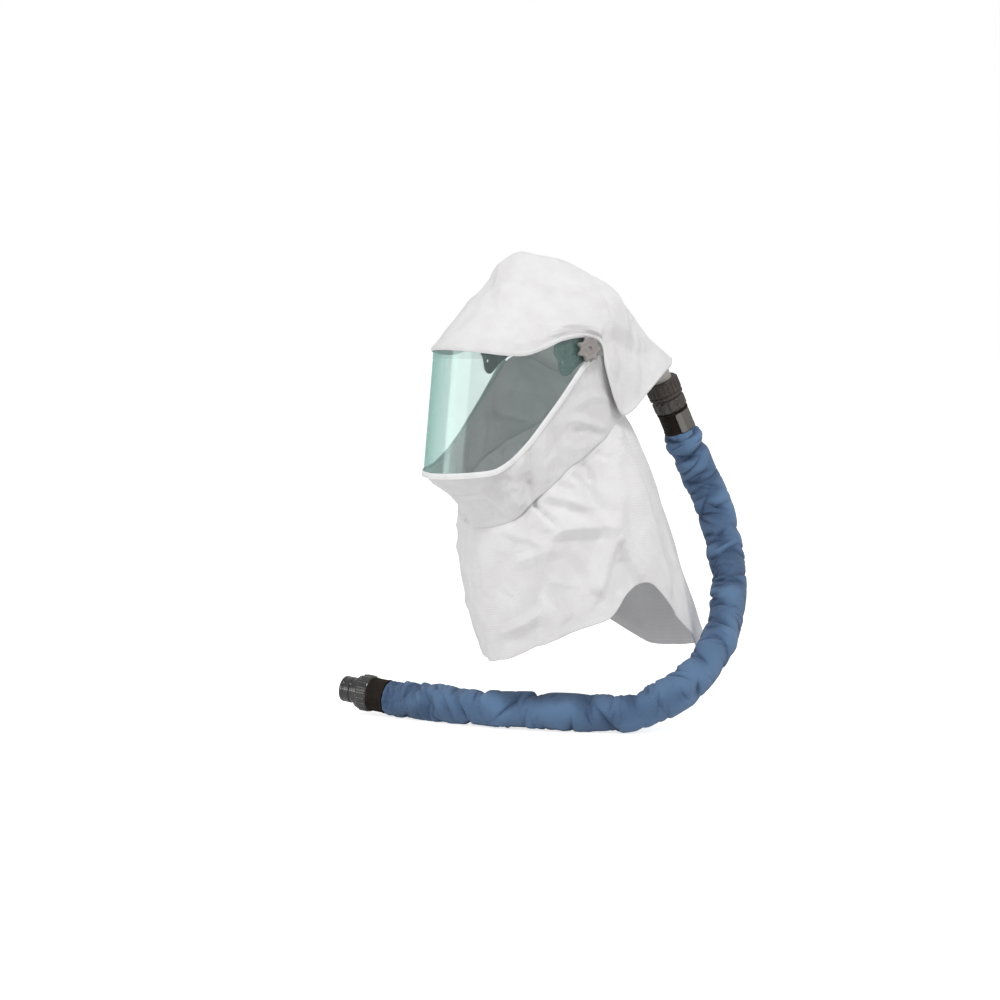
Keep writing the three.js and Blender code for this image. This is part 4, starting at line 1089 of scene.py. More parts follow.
def crown_point(step, place):
    """A point of the crown by steps from its apex down to its hem."""
    reach = CROWN_EVENING * (1 - step)
    edge = 0
    for i in range(-EVENING_SAMPLES, EVENING_SAMPLES + 1):
        at = place + reach * i / EVENING_SAMPLES
        edge = edge + mirrored_loop(CROWN_EDGE, at - 2 * np.round(at / 2)) / (2 * EVENING_SAMPLES + 1)
    hem_top = edge[..., :3] + np.array([0, FACE_LEAN * HEM_DROP, HEM_DROP])
    tent, tail = edge[..., 3], edge[..., 4]
    slope = smooth_rows(CROWN_PROFILE, step)
    dome = smooth_rows(CROWN_PROFILE, np.minimum(step / DOME_SHARE, 1))
    hung = np.maximum(step - DOME_SHARE, 0) / (1 - DOME_SHARE)
    dome_drop = dome[..., 4] * (CROWN_APEX[2] - TEMPLE_HEIGHT) + hung * (TEMPLE_HEIGHT - hem_top[..., 2])
    full_drop = CROWN_APEX[2] - hem_top[..., 2]
    domed = 1 - tent - tail
    out = tent * slope[..., 1] + domed * dome[..., 3] + tail * slope[..., 5]
    point = CROWN_APEX + (hem_top - CROWN_APEX) * out[..., None]
    sloped_drop = (tent * slope[..., 2] + tail * slope[..., 6]) * full_drop
    point[..., 2] = CROWN_APEX[2] - sloped_drop - domed * dome_drop
    return point


step, place = cloth_places(CROWN_ROWS, CROWN_COLUMNS)
crown_flat = crown_point(step, place)
crown_out = outward(crown_flat)
crown_out[0] = (0, 0, 1)
crown_spots = round_map(step, place, inner=0, outer=250)
relief = crumpled(crown_spots, spacing=52, height=3.0, softness=4, seed=31)
relief += crumpled(crown_spots, spacing=22, height=0.8, softness=2.0, seed=32)
crown_folds = both_sides(CROWN_FOLDS, CROWN_FOLD_DRIFT)
relief += folded(crown_flat, crown_out, crown_point, LAST_CROWN_ROW, crown_folds)
gathered = CROWN_GATHERS * np.exp(-(1 - step) / CROWN_GATHER_REACH) * (np.abs(place) > CROWN_GATHERED_FROM)
relief += gathered * gathers(place, count=30, seed=33)
held = np.minimum(1, (1 - step) / CROWN_HELD_HEM + CROWN_HEM_SLACK)
crown_body = crown_flat + crown_out * (relief * held)[..., None]
edge = mirrored_loop(CROWN_EDGE, place[-1])[..., :3]
hem_shift = crown_body[-1] - crown_flat[-1]
share = np.linspace(0, 1, HEM_ROWS + 1)[1:, None, None]
hem = crown_flat[-1] + (edge - crown_flat[-1]) * share + hem_shift * (1 - HEM_SHIFT_EASE * share)
hem = hem + crown_out[-1] * (HEM_ROLL * np.sin(np.pi * np.minimum(share * HEM_ROLL_LENGTH, 1)) ** 0.5)
crown_points = np.concatenate([crown_body, hem])
crown_steps = np.concatenate([step, 1 + share[..., 0] * HEM_DEPTH + 0 * edge[None, :, 0]])
crown_places = np.vstack([place, np.repeat(place[-1:], HEM_ROWS, axis=0)])
crown_uv = woven_uv(crown_points, crown_steps, crown_places)
crown_cloth = ribbed_cloth("crown_cloth", rib_turn=0, rib_depth=0.35)
crown = cloth_piece("crown_hood", crown_points, crown_uv, crown_cloth, "crown")
crown_hem_line = crown_body[-1] + crown_out[-1] * CROWN_STITCH_PROUD
crown_stitches = stitches("crown_hem_stitches", crown_hem_line, white_thread)


# Air duct: a smooth moulded elbow of pale plastic that brings the air from the inlet to the headband.
# Its lower end is the stub that shows between the crown's tail and the coupling.
COUPLING_CENTRE = np.array([0, 203.0, -86.0])
COUPLING_TILT = np.radians(27.4)
COUPLING_AXIS = np.array([0, np.sin(COUPLING_TILT), -np.cos(COUPLING_TILT)])
DUCT_RADIUS = 17.5
DUCT_WALL = 2.0
NUT_END = 13.0
DUCT_ROUTE = [(0, 87, 0), (0, 110, -5), (0, 134, -18), (0, 156, -36)]
DUCT_STATIONS = (-36, -19, -NUT_END, NUT_END)
DUCT_SPACING = 2.0
DUCT_SEGMENTS = 72
PATH_STEPS = 60


def along_coupling(distance):
    return COUPLING_CENTRE + distance * COUPLING_AXIS


def smooth_path(points, spacing):
    """A smooth line through points, read at even spacing."""
    points = np.asarray(points, float)
    padded = np.vstack([2 * points[0] - points[1], points, 2 * points[-1] - points[-2]])
    share = np.linspace(0, 1, PATH_STEPS, endpoint=False)[:, None]
    pieces = []
    for before, low, high, after in zip(padded, padded[1:], padded[2:], padded[3:]):
        first, middle, last = (np.linalg.norm(gap) ** 0.5 for gap in (low - before, high - low, after - high))
        start = ((low - before) / first - (high - before) / (first + middle) + (high - low) / middle) * middle
        end = ((high - low) / middle - (after - low) / (middle + last) + (after - high) / last) * middle
        rise = high - low
        pieces.append(low + share * (start + share * (rise - start + (share - 1) * (start + end - 2 * rise))))
    fine = np.vstack([*pieces, points[-1:]])
    walked = np.concatenate([[0], np.cumsum(np.linalg.norm(np.diff(fine, axis=0), axis=1))])
    stations = np.linspace(0, walked[-1], max(round(walked[-1] / spacing), 2) + 1)
    return stations, np.column_stack([np.interp(stations, walked, fine[:, axis]) for axis in range(3)])


def path_frames(line, first_side):
    """Two directions across a line at each of its points, carried along it without twist."""
    ahead = np.gradient(line, axis=0)
    ahead /= np.linalg.norm(ahead, axis=1, keepdims=True)
    side = np.array(first_side, float)
    sides = []
    for direction in ahead:
        side = side - direction * (side @ direction)
        side /= np.linalg.norm(side)
        sides.append(side)
    sides = np.array(sides)
    return sides, np.cross(ahead, sides), ahead


def duct_mesh():
    route = [*DUCT_ROUTE, *(along_coupling(station) for station in DUCT_STATIONS)]
    _, line = smooth_path(route, DUCT_SPACING)
    side, up, _ = path_frames(line, (1, 0, 0))
    angle = np.linspace(0, 2 * np.pi, DUCT_SEGMENTS, endpoint=False)[:, None]
    spoke = np.cos(angle) * side[:, None] + np.sin(angle) * up[:, None]
    outer = line[:, None] + DUCT_RADIUS * spoke
    inner = line[:, None] + (DUCT_RADIUS - DUCT_WALL) * spoke
    lip = line[[0, -1], None] + (DUCT_RADIUS - DUCT_WALL / 2) * spoke[[0, -1]]
    shell = np.concatenate([lip[:1], outer, lip[1:], inner[::-1]])
    return grid_mesh("duct_tube", shell, wrap_rows=True, wrap_columns=True)


duct_plastic = moulded_plastic(
    "duct_plastic", (0.47, 0.445, 0.41, 1), (0.60, 0.58, 0.55, 1), roughness=0.4
)
add_piece(duct_mesh(), duct_plastic, "hood", "duct_plastic", "air_duct")


# Air coupling: a knurled plastic nut on the duct's stub, a lugged ring below it, and the hose's cuff.
# All three are turned on one axis that leans back. A sewn tab is wrapped on the cuff's outer side.
NUT_RADIUS = 24.8
NUT_TEETH = 22
NUT_TOOTH = 1.2
NUT_TOOTH_WIDTH = 3.6
NUT_TOOTH_LENGTH = 16.8
NUT_TEETH_MIDDLE = -2.4
RING_START = NUT_END + CLEARANCE
RING_END = RING_START + 22.0
RING_RADIUS = 22.6
RING_LUGS = 12
RING_LUG = 2.0
RING_LUGS_FROM = RING_START + 4.5
RING_LUGS_TO = RING_END - 2
RING_LUG_FLANK = 10
RING_LUG_END = 3
RING_LUG_BROADER = 0.2
RING_STEPS = 40
CUFF_START = RING_END + CLEARANCE
CUFF_END = CUFF_START + 33.0
CUFF_TOP_RADIUS = 23.0
CUFF_BEAD = 0.8
CUFF_BEAD_LENGTH = 3.0
CUFF_BEAD_FOOT = 3.8
CUFF_RINGS_FROM = 4.2
CUFF_RING_DEPTH = 0.22
CUFF_RING_PITCH = 3.1
CUFF_RING_STEPS = 60
CUFF_ROUNDING = 0.6
TAB_LENGTH = 30.0
TAB_THICKNESS = 1.6
TAB_HALF_ANGLE = np.radians(32)
TAB_ROUNDING = 0.4
TAB_CORNER_RADIUS = 2.2
TAB_CUTS = 18
TAB_SHARP_EDGE = np.radians(45)
TURNED_SEGMENTS = 112
TURNED_SHARP_EDGE = np.radians(50)
CORNER_STEPS = 5
CORNER_LEAD = 1.1
LONGEST_CORNER = 0.45


def axis_frame(origin, axis, side):
    """A frame whose Z is an axis and whose X is the given side, squared to it."""
    side = np.asarray(side, float) - np.asarray(axis) * np.dot(side, axis)
    side /= np.linalg.norm(side)
    matrix = np.eye(4)
    matrix[:3, :3] = np.column_stack([side, np.cross(axis, side), axis])
    matrix[:3, 3] = origin
    return matrix


def rounded_profile(corners, rounding, closed=False):
    """A profile with each of its corners eased by a small curve."""
    corners = np.asarray(corners, float)
    ease = np.linspace(0, 1, CORNER_STEPS)[:, None]
    last = len(corners) - 1
    profile = []
    for i, corner in enumerate(corners):
        if not closed and i in (0, last):
            profile.append(corner[None])
            continue
        before, after = corners[i - 1], corners[(i + 1) % len(corners)]
        reach = []
        for near in (before, after):
            gap = near - corner
            length = np.linalg.norm(gap)
            reach.append(gap / length * min(rounding, LONGEST_CORNER * length))
        start, end = corner + reach[0], corner + reach[1]
        curve = (1 - ease) ** 2 * start + 2 * ease * (1 - ease) * corner + ease**2 * end
        leads = [corner + CORNER_LEAD * way[None] for way in reach]
        profile += [leads[0], curve, leads[1]]
    return np.concatenate(profile)


def turned_mesh(name, matrix, profile, closed=False, swell=None):
    """A turned piece from radius and height. swell may push the surface out round the axis."""
    angle = np.linspace(0, 2 * np.pi, TURNED_SEGMENTS, endpoint=False)
    radius, height = profile[:, :1], profile[:, 1:]
    if swell is not None:
        radius = radius + swell(radius, height, angle)
    local = np.stack([radius * np.cos(angle), radius * np.sin(angle), height + 0 * angle], axis=-1)
    mesh = grid_mesh(name, placed(matrix, local), wrap_rows=closed, wrap_columns=True)
    mesh.set_sharp_from_angle(angle=TURNED_SHARP_EDGE)
    return mesh


def rib_tree():
    """Round-backed ribs stood evenly about an axis."""
    sizes = {"Count": "Int", "Radius": "Float", "Height": "Float", "Width": "Float", "Length": "Float"}
    tree, given = geometry_tree("grip_ribs", sizes)
    wire = Wire(tree)
    spots = wire.node("GeometryNodeMeshCircle", None, {"Vertices": given["Count"], "Radius": given["Radius"]})
    number = wire.node("GeometryNodeInputIndex")
    turn = wire.node("ShaderNodeCombineXYZ", None, {"Z": number * (2 * np.pi) / given["Count"]})
    rib = wire.node("GeometryNodeMeshCylinder", None, {"Vertices": 12, "Radius": 1.0, "Depth": 1.0})
    scale = wire.node("ShaderNodeCombineXYZ", None, {
        "X": given["Height"], "Y": given["Width"] * 0.5, "Z": given["Length"],
    })
    ribs = wire.node("GeometryNodeInstanceOnPoints", None, {
        "Points": spots, "Instance": rib, "Rotation": turn, "Scale": scale,
    })
    end_tree(tree, ribs, given["Material"])
    return tree


def ribs(name, matrix, middle, material, count, radius, height, width, length):
    sizes = {"Radius": radius, "Height": height, "Width": width, "Length": length}
    values = {key: value * MM for key, value in sizes.items()} | {"Count": count, "Material": material}
    mesh = grown_mesh(name, grip_ribs, bpy.data.meshes.new("base"), values)
    mesh.set_sharp_from_angle(angle=TURNED_SHARP_EDGE)
    mesh.transform(Matrix.Translation((0, 0, middle * MM)))
    mesh.transform(metres(matrix))
    return mesh


def lugged(radius, height, angle):
    """Raised lugs round the ring's middle, with rounded flanks."""
    across = np.cos(RING_LUGS * angle)
    lug = 1 / (1 + np.exp(-(across + RING_LUG_BROADER) * RING_LUG_FLANK))
    begun = 1 / (1 + np.exp(-(height - RING_LUGS_FROM) * RING_LUG_END))
    ended = 1 + np.exp((height - RING_LUGS_TO) * RING_LUG_END)
    return RING_LUG * lug * (begun / ended) * (radius > RING_RADIUS - 0.5)


coupling_frame = axis_frame(COUPLING_CENTRE, COUPLING_AXIS, (1, 0, 0))
grip_ribs = rib_tree()
nut_plastic = moulded_plastic(
    "nut_plastic", (0.027, 0.020, 0.017, 1), (0.125, 0.10, 0.088, 1), roughness=0.42
)
nut_body = rounded_profile([
    (DUCT_RADIUS + CLEARANCE, -NUT_END), (NUT_RADIUS - 1.2, -NUT_END), (NUT_RADIUS, -NUT_END + 2),
    (NUT_RADIUS, 6.6), (NUT_RADIUS - 1.0, 7.2), (NUT_RADIUS - 1.0, 8.6), (NUT_RADIUS + 0.7, 9.2),
    (NUT_RADIUS + 0.7, NUT_END), (DUCT_RADIUS + CLEARANCE, NUT_END),
], rounding=0.5, closed=True)
nut = joined(
    "coupling_nut_knurled",
    turned_mesh("nut", coupling_frame, nut_body, closed=True),
    ribs("nut_ribs", coupling_frame, NUT_TEETH_MIDDLE, nut_plastic, NUT_TEETH, NUT_RADIUS,
         NUT_TOOTH, NUT_TOOTH_WIDTH, NUT_TOOTH_LENGTH),
)
add_piece(nut, nut_plastic, "hood", "nut_plastic", "coupling_nut")

ring_plastic = moulded_plastic(
    "ring_plastic", (0.030, 0.025, 0.022, 1), (0.15, 0.13, 0.115, 1), roughness=0.4
)
ring_steps = np.linspace(RING_START + 3, RING_END - 0.8, RING_STEPS)
ring_body = np.vstack([
    [(0, RING_START), (RING_RADIUS - 1.6, RING_START), (RING_RADIUS - 1.4, RING_START + 0.3),
     (RING_RADIUS - 1.4, RING_START + 1.6), (RING_RADIUS - 1.2, RING_START + 2),
     (RING_RADIUS - 0.6, RING_START + 2.2), (RING_RADIUS, RING_START + 2.7)],
    np.column_stack([np.full(RING_STEPS, RING_RADIUS), ring_steps]),
    [(RING_RADIUS - 0.3, RING_END - 0.2), (RING_RADIUS - 0.8, RING_END), (0, RING_END)],
])
add_piece(turned_mesh("coupling_ring_lugged", coupling_frame, ring_body, swell=lugged),
          ring_plastic, "hood", "ring_plastic", "coupling_ring")


def rubber(name, colour, worn_colour):
    """Dull black rubber with a fine grain and a dusty bloom."""

    def paint(wire):
        place = own_place(wire)
        bloom = eased(noise(place, scale=80.0, detail=5.0), low=0.4, high=0.8)
        fine = noise(place, scale=1100.0, detail=3.0)
        return {
            "Base Color": bloom.mix(colour, worn_colour),
            "Roughness": 0.6 + bloom * 0.2,
            "Specular IOR Level": 0.17,
            "Normal": bumped(fine, strength=0.3, distance=0.0003),
        }

    return finished(name, paint)


def cuff_mesh(name, matrix, radius, low, high):
    """A cuff with a bead at each end and shallow rings between them."""
    bead = radius + CUFF_BEAD
    first = rounded_profile([
        (0, low), (bead, low), (bead, low + CUFF_BEAD_LENGTH), (radius, low + CUFF_BEAD_FOOT),
    ], CUFF_ROUNDING)
    steps = np.linspace(low + CUFF_RINGS_FROM, high - CUFF_RINGS_FROM, CUFF_RING_STEPS)
    waves = np.sin(steps * 2 * np.pi / CUFF_RING_PITCH)
    rings = np.column_stack([radius + CUFF_RING_DEPTH * waves, steps])
    last = rounded_profile([
        (radius, high - CUFF_BEAD_FOOT), (bead, high - CUFF_BEAD_LENGTH), (bead, high), (0, high),
    ], CUFF_ROUNDING)
    return turned_mesh(name, matrix, np.vstack([first, rings, last]))


cuff_rubber = rubber("cuff_rubber", (0.011, 0.0075, 0.0055, 1), (0.03, 0.021, 0.016, 1))
cuff_top = cuff_mesh("cuff_top_rubber", coupling_frame, CUFF_TOP_RADIUS, CUFF_START, CUFF_END)
cuff_top = add_piece(cuff_top, cuff_rubber, "hood", "cuff_rubber", "hose_cuff_top")


def tab_mesh():
    """A curved patch with rounded corners, laid on the cuff's beads."""
    inner = CUFF_TOP_RADIUS + CUFF_BEAD + CLEARANCE
    middle = CUFF_END - CLEARANCE - TAB_LENGTH / 2
    width = 2 * TAB_HALF_ANGLE * inner
    flat_size = (width - 2 * TAB_ROUNDING, TAB_LENGTH - 2 * TAB_ROUNDING)
    outline = rounded_rectangle(*flat_size, TAB_CORNER_RADIUS)
    plate = plate_mesh("cuff_tab_patch", [outline], TAB_THICKNESS, TAB_ROUNDING)
    shell = bmesh.new()
    shell.from_mesh(plate)
    bmesh.ops.triangulate(shell, faces=[face for face in shell.faces if len(face.verts) > 4])
    for cut in np.linspace(-width / 2, width / 2, TAB_CUTS)[1:-1]:
        geometry = [*shell.verts, *shell.edges, *shell.faces]
        bmesh.ops.bisect_plane(shell, geom=geometry, plane_co=(cut * MM, 0, 0), plane_no=(1, 0, 0))
    for vertex in shell.verts:
        x, y, z = np.array(vertex.co) / MM
        angle = x / inner
        reach = inner + TAB_THICKNESS / 2 + z
        local = np.array([reach * np.cos(angle), reach * np.sin(angle), middle + y])
        vertex.co = placed(coupling_frame, local) * MM
    shell.to_mesh(plate)
    shell.free()
    plate.shade_smooth()
    plate.set_sharp_from_angle(angle=TAB_SHARP_EDGE)
    return plate


def tab_material():
    def paint(wire):
        place = own_place(wire)
        sideways = {0: place, 1: tuple(coupling_frame[:3, 1])}
        across = wire.node("ShaderNodeVectorMath", {"operation": "DOT_PRODUCT"}, sideways, "Value")
        middle = coupling_frame[:3, 1] @ COUPLING_CENTRE * MM
        # Where the tab curves round toward the front, it is painted lighter as a painted highlight from the
        # front lights.
        edge = eased(across - middle, low=0.004, high=0.006)
        weave = noise(place, scale=1400.0, detail=2.0)
        ridges = wire.math("SINE", wire.node("ShaderNodeSeparateXYZ", None, {0: place}, "Z") * 3200.0)
        tone_with_painted_highlight = edge.mix((0.115, 0.107, 0.098, 1), (0.20, 0.187, 0.17, 1))
        return {
            "Base Color": (weave * 0.3).mix(tone_with_painted_highlight, (0.19, 0.18, 0.165, 1)),
            "Roughness": 0.7 + weave * 0.2,
            "Normal": bumped(weave + ridges * 0.3, strength=0.5, distance=0.0004),
        }

    return finished("tab_webbing", paint)


tab = add_piece(tab_mesh(), tab_material(), "hood", "tab_cloth", "cuff_tab")


# Hose: a corrugated air hose inside a loose sleeve of blue denim-like cloth, drawn in over the cuffs.
# The slack sleeve wrinkles into part rings, most at the bends and at its gathered ends.
FLOOR_HEIGHT = -563.0
END_HEADING = np.radians(212)
END_RISE = np.radians(5.5)
END_AXIS = np.array([
    np.cos(END_HEADING) * np.cos(END_RISE),
    np.sin(END_HEADING) * np.cos(END_RISE),
    np.sin(END_RISE),
])
HOSE_END = np.array([-168.0, -168.0, -535.0])
SLEEVE_STRAIGHT_TOP = 25.0
SLEEVE_STRAIGHT_END = 12.0
HOSE_ROUTE = [
    (2, 257, -188), (7, 273, -222), (16, 283, -256), (29, 289, -293), (46, 287, -330), (66, 277, -365),
    (90, 256, -404), (112, 226, -439), (128, 190, -470), (136, 152, -495), (136, 114, -514), (126, 78, -527),
    (107, 47, -534), (83, 18, -536), (58, -9, -536), (32, -35, -536), (4, -60, -536), (-28, -85, -536),
    (-64, -109, -536), (-104, -133, -536),
]
SLEEVE_RADIUS = 25.8
SLEEVE_END_RADIUS = 22.8
SLEEVE_MOUTH_RADIUS = 18.0
SLEEVE_MOUTH_PAINTED_SHADE = -4.0
SLEEVE_TURN_IN = 4.0
SLEEVE_END_EASE = 9.0
SLEEVE_END_HELD = 5.0
SLEEVE_END_SLACK = 0.25
SLEEVE_SEGMENTS = 72
SLEEVE_SPACING = 0.85
SLEEVE_SEED = 41
# Part-ring creases: how many lie anywhere, at the bends and bunched at each end.
CREASES = 100
BEND_CREASES = 90
BEND_CREASE_SWING = 0.6
TOP_CREASES = 14
TOP_BUNCH = 16.0
END_CREASES = 30
END_BUNCH = 55.0
BUNCH_FROM_END = 5.0
CREASE_LEAN = 9.0
CREASE_BOW = 5.0
# A pair is the least and the most of a measure. A spread is in radians round the sleeve.
CREASE_SPREAD = (0.35, 0.95)
CREASE_STEEP = (1.2, 2.6)
CREASE_GENTLE_BY_STEEP = (2.0, 4.5)
CREASE_DEPTH = (2.2, 6.0)
SMALL_CREASES = 300
SMALL_CREASE_LEAN = 12.0
SMALL_CREASE_WIDTH = (0.9, 2.2)
SMALL_CREASE_DEPTH = (0.5, 1.5)
SMALL_CREASE_SPREAD = (0.25, 0.6)
SWELLS = 90
SWELL_LEAN = 10.0
SWELL_LENGTH = (10, 26)
SWELL_HEIGHT = (1.0, 3.2)
SWELL_SPREAD = (0.45, 1.2)
PLEAT_HEIGHT = 1.1
PLEAT_REACH = 13.0
# Height, middle and width of the bulge below the cuff, and of the waist below the bulge.
TOP_BULGE = (4.0, 19, 9)
TOP_WAIST = (-3.0, 36, 7)
SLACK_LIMITS = (-7.0, 4.5)
# The material takes slack as a share of this span, and reads no slack as the share below.
SLACK_SPAN = 8
SLACK_AT_NONE = 0.6
TWILL_TURN = np.radians(58)
TWILL_PITCH = 1.1


def swung(angle, facing):
    return (angle - facing + np.pi) % (2 * np.pi) - np.pi


def sleeve_relief(stations, angle, bend, bend_facing):
    """Slack of the sleeve: sharp part-ring creases, soft swells between them and gathered ends."""
    draw = np.random.default_rng(SLEEVE_SEED)
    length = stations[-1]
    at = stations[:, None]
    total = np.zeros((len(stations), len(angle)))
    chance = np.cumsum(bend) / bend.sum()
    picks = np.minimum(np.searchsorted(chance, draw.uniform(size=BEND_CREASES)), len(stations) - 1)
    middles = np.concatenate([
        draw.uniform(0, length, CREASES),
        stations[picks],
        draw.exponential(TOP_BUNCH, TOP_CREASES) + BUNCH_FROM_END,
        length - BUNCH_FROM_END - draw.exponential(END_BUNCH, END_CREASES),
    ])
    facings = draw.uniform(0, 2 * np.pi, len(middles))
    swings = draw.normal(0, BEND_CREASE_SWING, BEND_CREASES)
    facings[CREASES:CREASES + BEND_CREASES] = bend_facing[picks] + swings
    for middle, facing in zip(middles, facings):
        swing = swung(angle, facing)
        off = at - middle - draw.normal(0, CREASE_LEAN) * swing - draw.normal(0, CREASE_BOW) * swing**2
        spread = draw.uniform(*CREASE_SPREAD)
        steep = draw.uniform(*CREASE_STEEP)
        gentle = steep * draw.uniform(*CREASE_GENTLE_BY_STEEP)
        depth = draw.uniform(*CREASE_DEPTH)
        width = np.where(off * draw.choice([1, 1, -1]) < 0, steep, gentle)
        total -= depth * np.exp(-np.abs(off) / width - (swing / spread) ** 2)
    for _ in range(SMALL_CREASES):
        middle, facing = draw.uniform(0, length), draw.uniform(0, 2 * np.pi)
        swing = swung(angle, facing)
        off = np.abs(at - middle - draw.normal(0, SMALL_CREASE_LEAN) * swing)
        off /= draw.uniform(*SMALL_CREASE_WIDTH)
        depth = draw.uniform(*SMALL_CREASE_DEPTH)
        total -= depth * np.exp(-off - (swing / draw.uniform(*SMALL_CREASE_SPREAD)) ** 2)
    for _ in range(SWELLS):
        middle, facing = draw.uniform(0, length), draw.uniform(0, 2 * np.pi)
        swing = swung(angle, facing)
        off = (at - middle - draw.normal(0, SWELL_LEAN) * swing) / draw.uniform(*SWELL_LENGTH)
        height = draw.uniform(*SWELL_HEIGHT)
        total += height * np.exp(-off * off - (swing / draw.uniform(*SWELL_SPREAD)) ** 2)
    # The whole sleeve is a little out of round, and this changes slowly along it.
    total += 0.5 * np.sin(3 * angle + at / 41) + 0.4 * np.sin(2 * angle - at / 67)
    near_end = np.minimum(at, length - at)
    pleats = np.sin(11 * angle + 0.9 * np.sin(3 * angle)) + 0.6 * np.sin(17 * angle + 1)
    total += PLEAT_HEIGHT * pleats * np.exp(-near_end / PLEAT_REACH)
    total += hump(at, *TOP_BULGE) + hump(at, *TOP_WAIST)
    return np.clip(total, *SLACK_LIMITS)


def sleeve_mesh():
    route = [
        along_coupling(CUFF_END + CLEARANCE),
        along_coupling(CUFF_END + SLEEVE_STRAIGHT_TOP),
        *HOSE_ROUTE,
        HOSE_END - SLEEVE_STRAIGHT_END * END_AXIS,
        HOSE_END - CLEARANCE * END_AXIS,
    ]
    stations, line = smooth_path(route, SLEEVE_SPACING)
    side, up, ahead = path_frames(line, (1, 0, 0))
    turning = np.gradient(ahead, axis=0)
    bend = np.linalg.norm(turning, axis=1)
    bend_facing = np.arctan2((turning * up).sum(1), (turning * side).sum(1))
    angle = np.linspace(0, 2 * np.pi, SLEEVE_SEGMENTS + 1)
    relief = sleeve_relief(stations, angle, bend, bend_facing)
    near_end = np.minimum(stations, stations[-1] - stations)[:, None]
    ease = np.clip(near_end / SLEEVE_END_EASE, 0, 1) ** 0.5
    held = np.clip(near_end / SLEEVE_END_HELD, SLEEVE_END_SLACK, 1)
    radius = SLEEVE_END_RADIUS + ease * (SLEEVE_RADIUS - SLEEVE_END_RADIUS) + relief * held
    spoke = np.cos(angle)[:, None] * side[:, None] + np.sin(angle)[:, None] * up[:, None]
    points = line[:, None] + radius[..., None] * spoke
    points[..., 2] = np.maximum(points[..., 2], FLOOR_HEIGHT + CLEARANCE)
    turned_in = [line[[end], None] + SLEEVE_MOUTH_RADIUS * spoke[[end]] for end in (0, -1)]
    shell = np.concatenate([turned_in[0], points, turned_in[1]])
    walked = np.concatenate([[-SLEEVE_TURN_IN], stations, [stations[-1] + SLEEVE_TURN_IN]])
    across = np.broadcast_to(angle * SLEEVE_RADIUS, (len(walked), len(angle)))
    uv = np.stack([across, np.broadcast_to(walked[:, None], across.shape)], axis=-1) * MM
    mesh = grid_mesh("sleeve_denim", shell[:, :-1], wrap_columns=True, caps=True, uv=uv)
    # The turned-in mouths take a deep crease's slack, so the material paints them dark as painted shade.
    shaded_mouth = np.full((1, len(angle)), SLEEVE_MOUTH_PAINTED_SHADE)
    slack = np.concatenate([shaded_mouth, relief, shaded_mouth])
    attribute = mesh.attributes.new("slack", "FLOAT", "POINT")
    shares = slack[:, :-1].ravel() / SLACK_SPAN + SLACK_AT_NONE
    attribute.data.foreach_set("value", shares.astype(np.float32))
    return mesh, stations[-1], line


def denim_material():
    """Blue cotton cloth: a fine twill, with a painted highlight on its worn crests and painted shade down in
    the creases.
    """

    def paint(wire):
        place = own_place(wire)
        spot = wire.node("ShaderNodeUVMap", {"uv_map": "weave"})
        slack = wire.node("ShaderNodeAttribute", {"attribute_name": "slack"}, None, "Fac")
        twill = wire.node("ShaderNodeMapping", None, {"Vector": spot, "Rotation": (0, 0, TWILL_TURN)})
        across = wire.node("ShaderNodeSeparateXYZ", None, {0: twill}, "Y")
        thread = wire.math("SINE", across * (2 * np.pi / (TWILL_PITCH * MM))) * 0.5 + 0.5
        drawn_out = wire.node("ShaderNodeMapping", None, {"Vector": spot, "Scale": (900, 120, 1)})
        slub = noise(drawn_out, scale=1.0, detail=4.0)
        # Crests are painted paler, partly real wear and partly a painted highlight, and creases darker as
        # painted shade.
        crest_wear_and_painted_light = eased(slack + (slub - 0.5) * 0.3, low=0.3, high=0.95)
        cloth = crest_wear_and_painted_light.mix((0.018, 0.052, 0.13, 1), (0.098, 0.19, 0.345, 1))
        fade = eased(noise(place, scale=16.0, detail=4.0), low=0.35, high=0.7)
        faded = (fade * 0.45).mix(cloth, (0.072, 0.15, 0.275, 1))
        return {
            "Base Color": (thread * 0.22 + slub * 0.16).mix(faded, (0.15, 0.245, 0.385, 1)),
            "Roughness": 0.78 + slub * 0.14,
            "Normal": bumped(thread * 0.6 + slub, strength=0.5, distance=0.0005),
            "Sheen Weight": 0.12,
            "Sheen Roughness": 0.6,
        }

    return finished("denim_cloth", paint)


sleeve_shell, hose_length, hose_line = sleeve_mesh()
sleeve = add_piece(sleeve_shell, denim_material(), "hood", "blue_cloth", "hose_sleeve")


# Loose end of the hose: a rubber cuff, a ribbed nut that turns freely, and a hollow spigot.
# The nut screws onto the air supply, and the spigot's open end plugs into it.
CUFF_BOTTOM_RADIUS = 24.0
CUFF_BOTTOM_LENGTH = 25.0
END_NUT_START = CUFF_BOTTOM_LENGTH + CLEARANCE
END_NUT_END = END_NUT_START + 23.0
END_NUT_RADIUS = 26.0
END_NUT_TEETH = 18
END_NUT_TOOTH = 1.0
END_NUT_TOOTH_WIDTH = 5.2
END_NUT_TOOTH_LENGTH = 13.6
END_NUT_TEETH_MIDDLE = END_NUT_START + 8.6
END_NUT_TEETH_RADIUS = END_NUT_RADIUS - 0.1
STEM_RADIUS = 15.0
SPIGOT_START = END_NUT_END + CLEARANCE
SPIGOT_END = SPIGOT_START + 25.0
SPIGOT_RADIUS = 19.0
SPIGOT_BORE_RADIUS = 15.5
SPIGOT_BORE_DEPTH = 20.0

end_frame = axis_frame(HOSE_END, END_AXIS, (0, 0, 1))
cuff_bottom = cuff_mesh("cuff_bottom_rubber", end_frame, CUFF_BOTTOM_RADIUS, 0.0, CUFF_BOTTOM_LENGTH)
cuff_bottom = add_piece(cuff_bottom, cuff_rubber, "hood", "cuff_rubber", "hose_cuff_bottom")

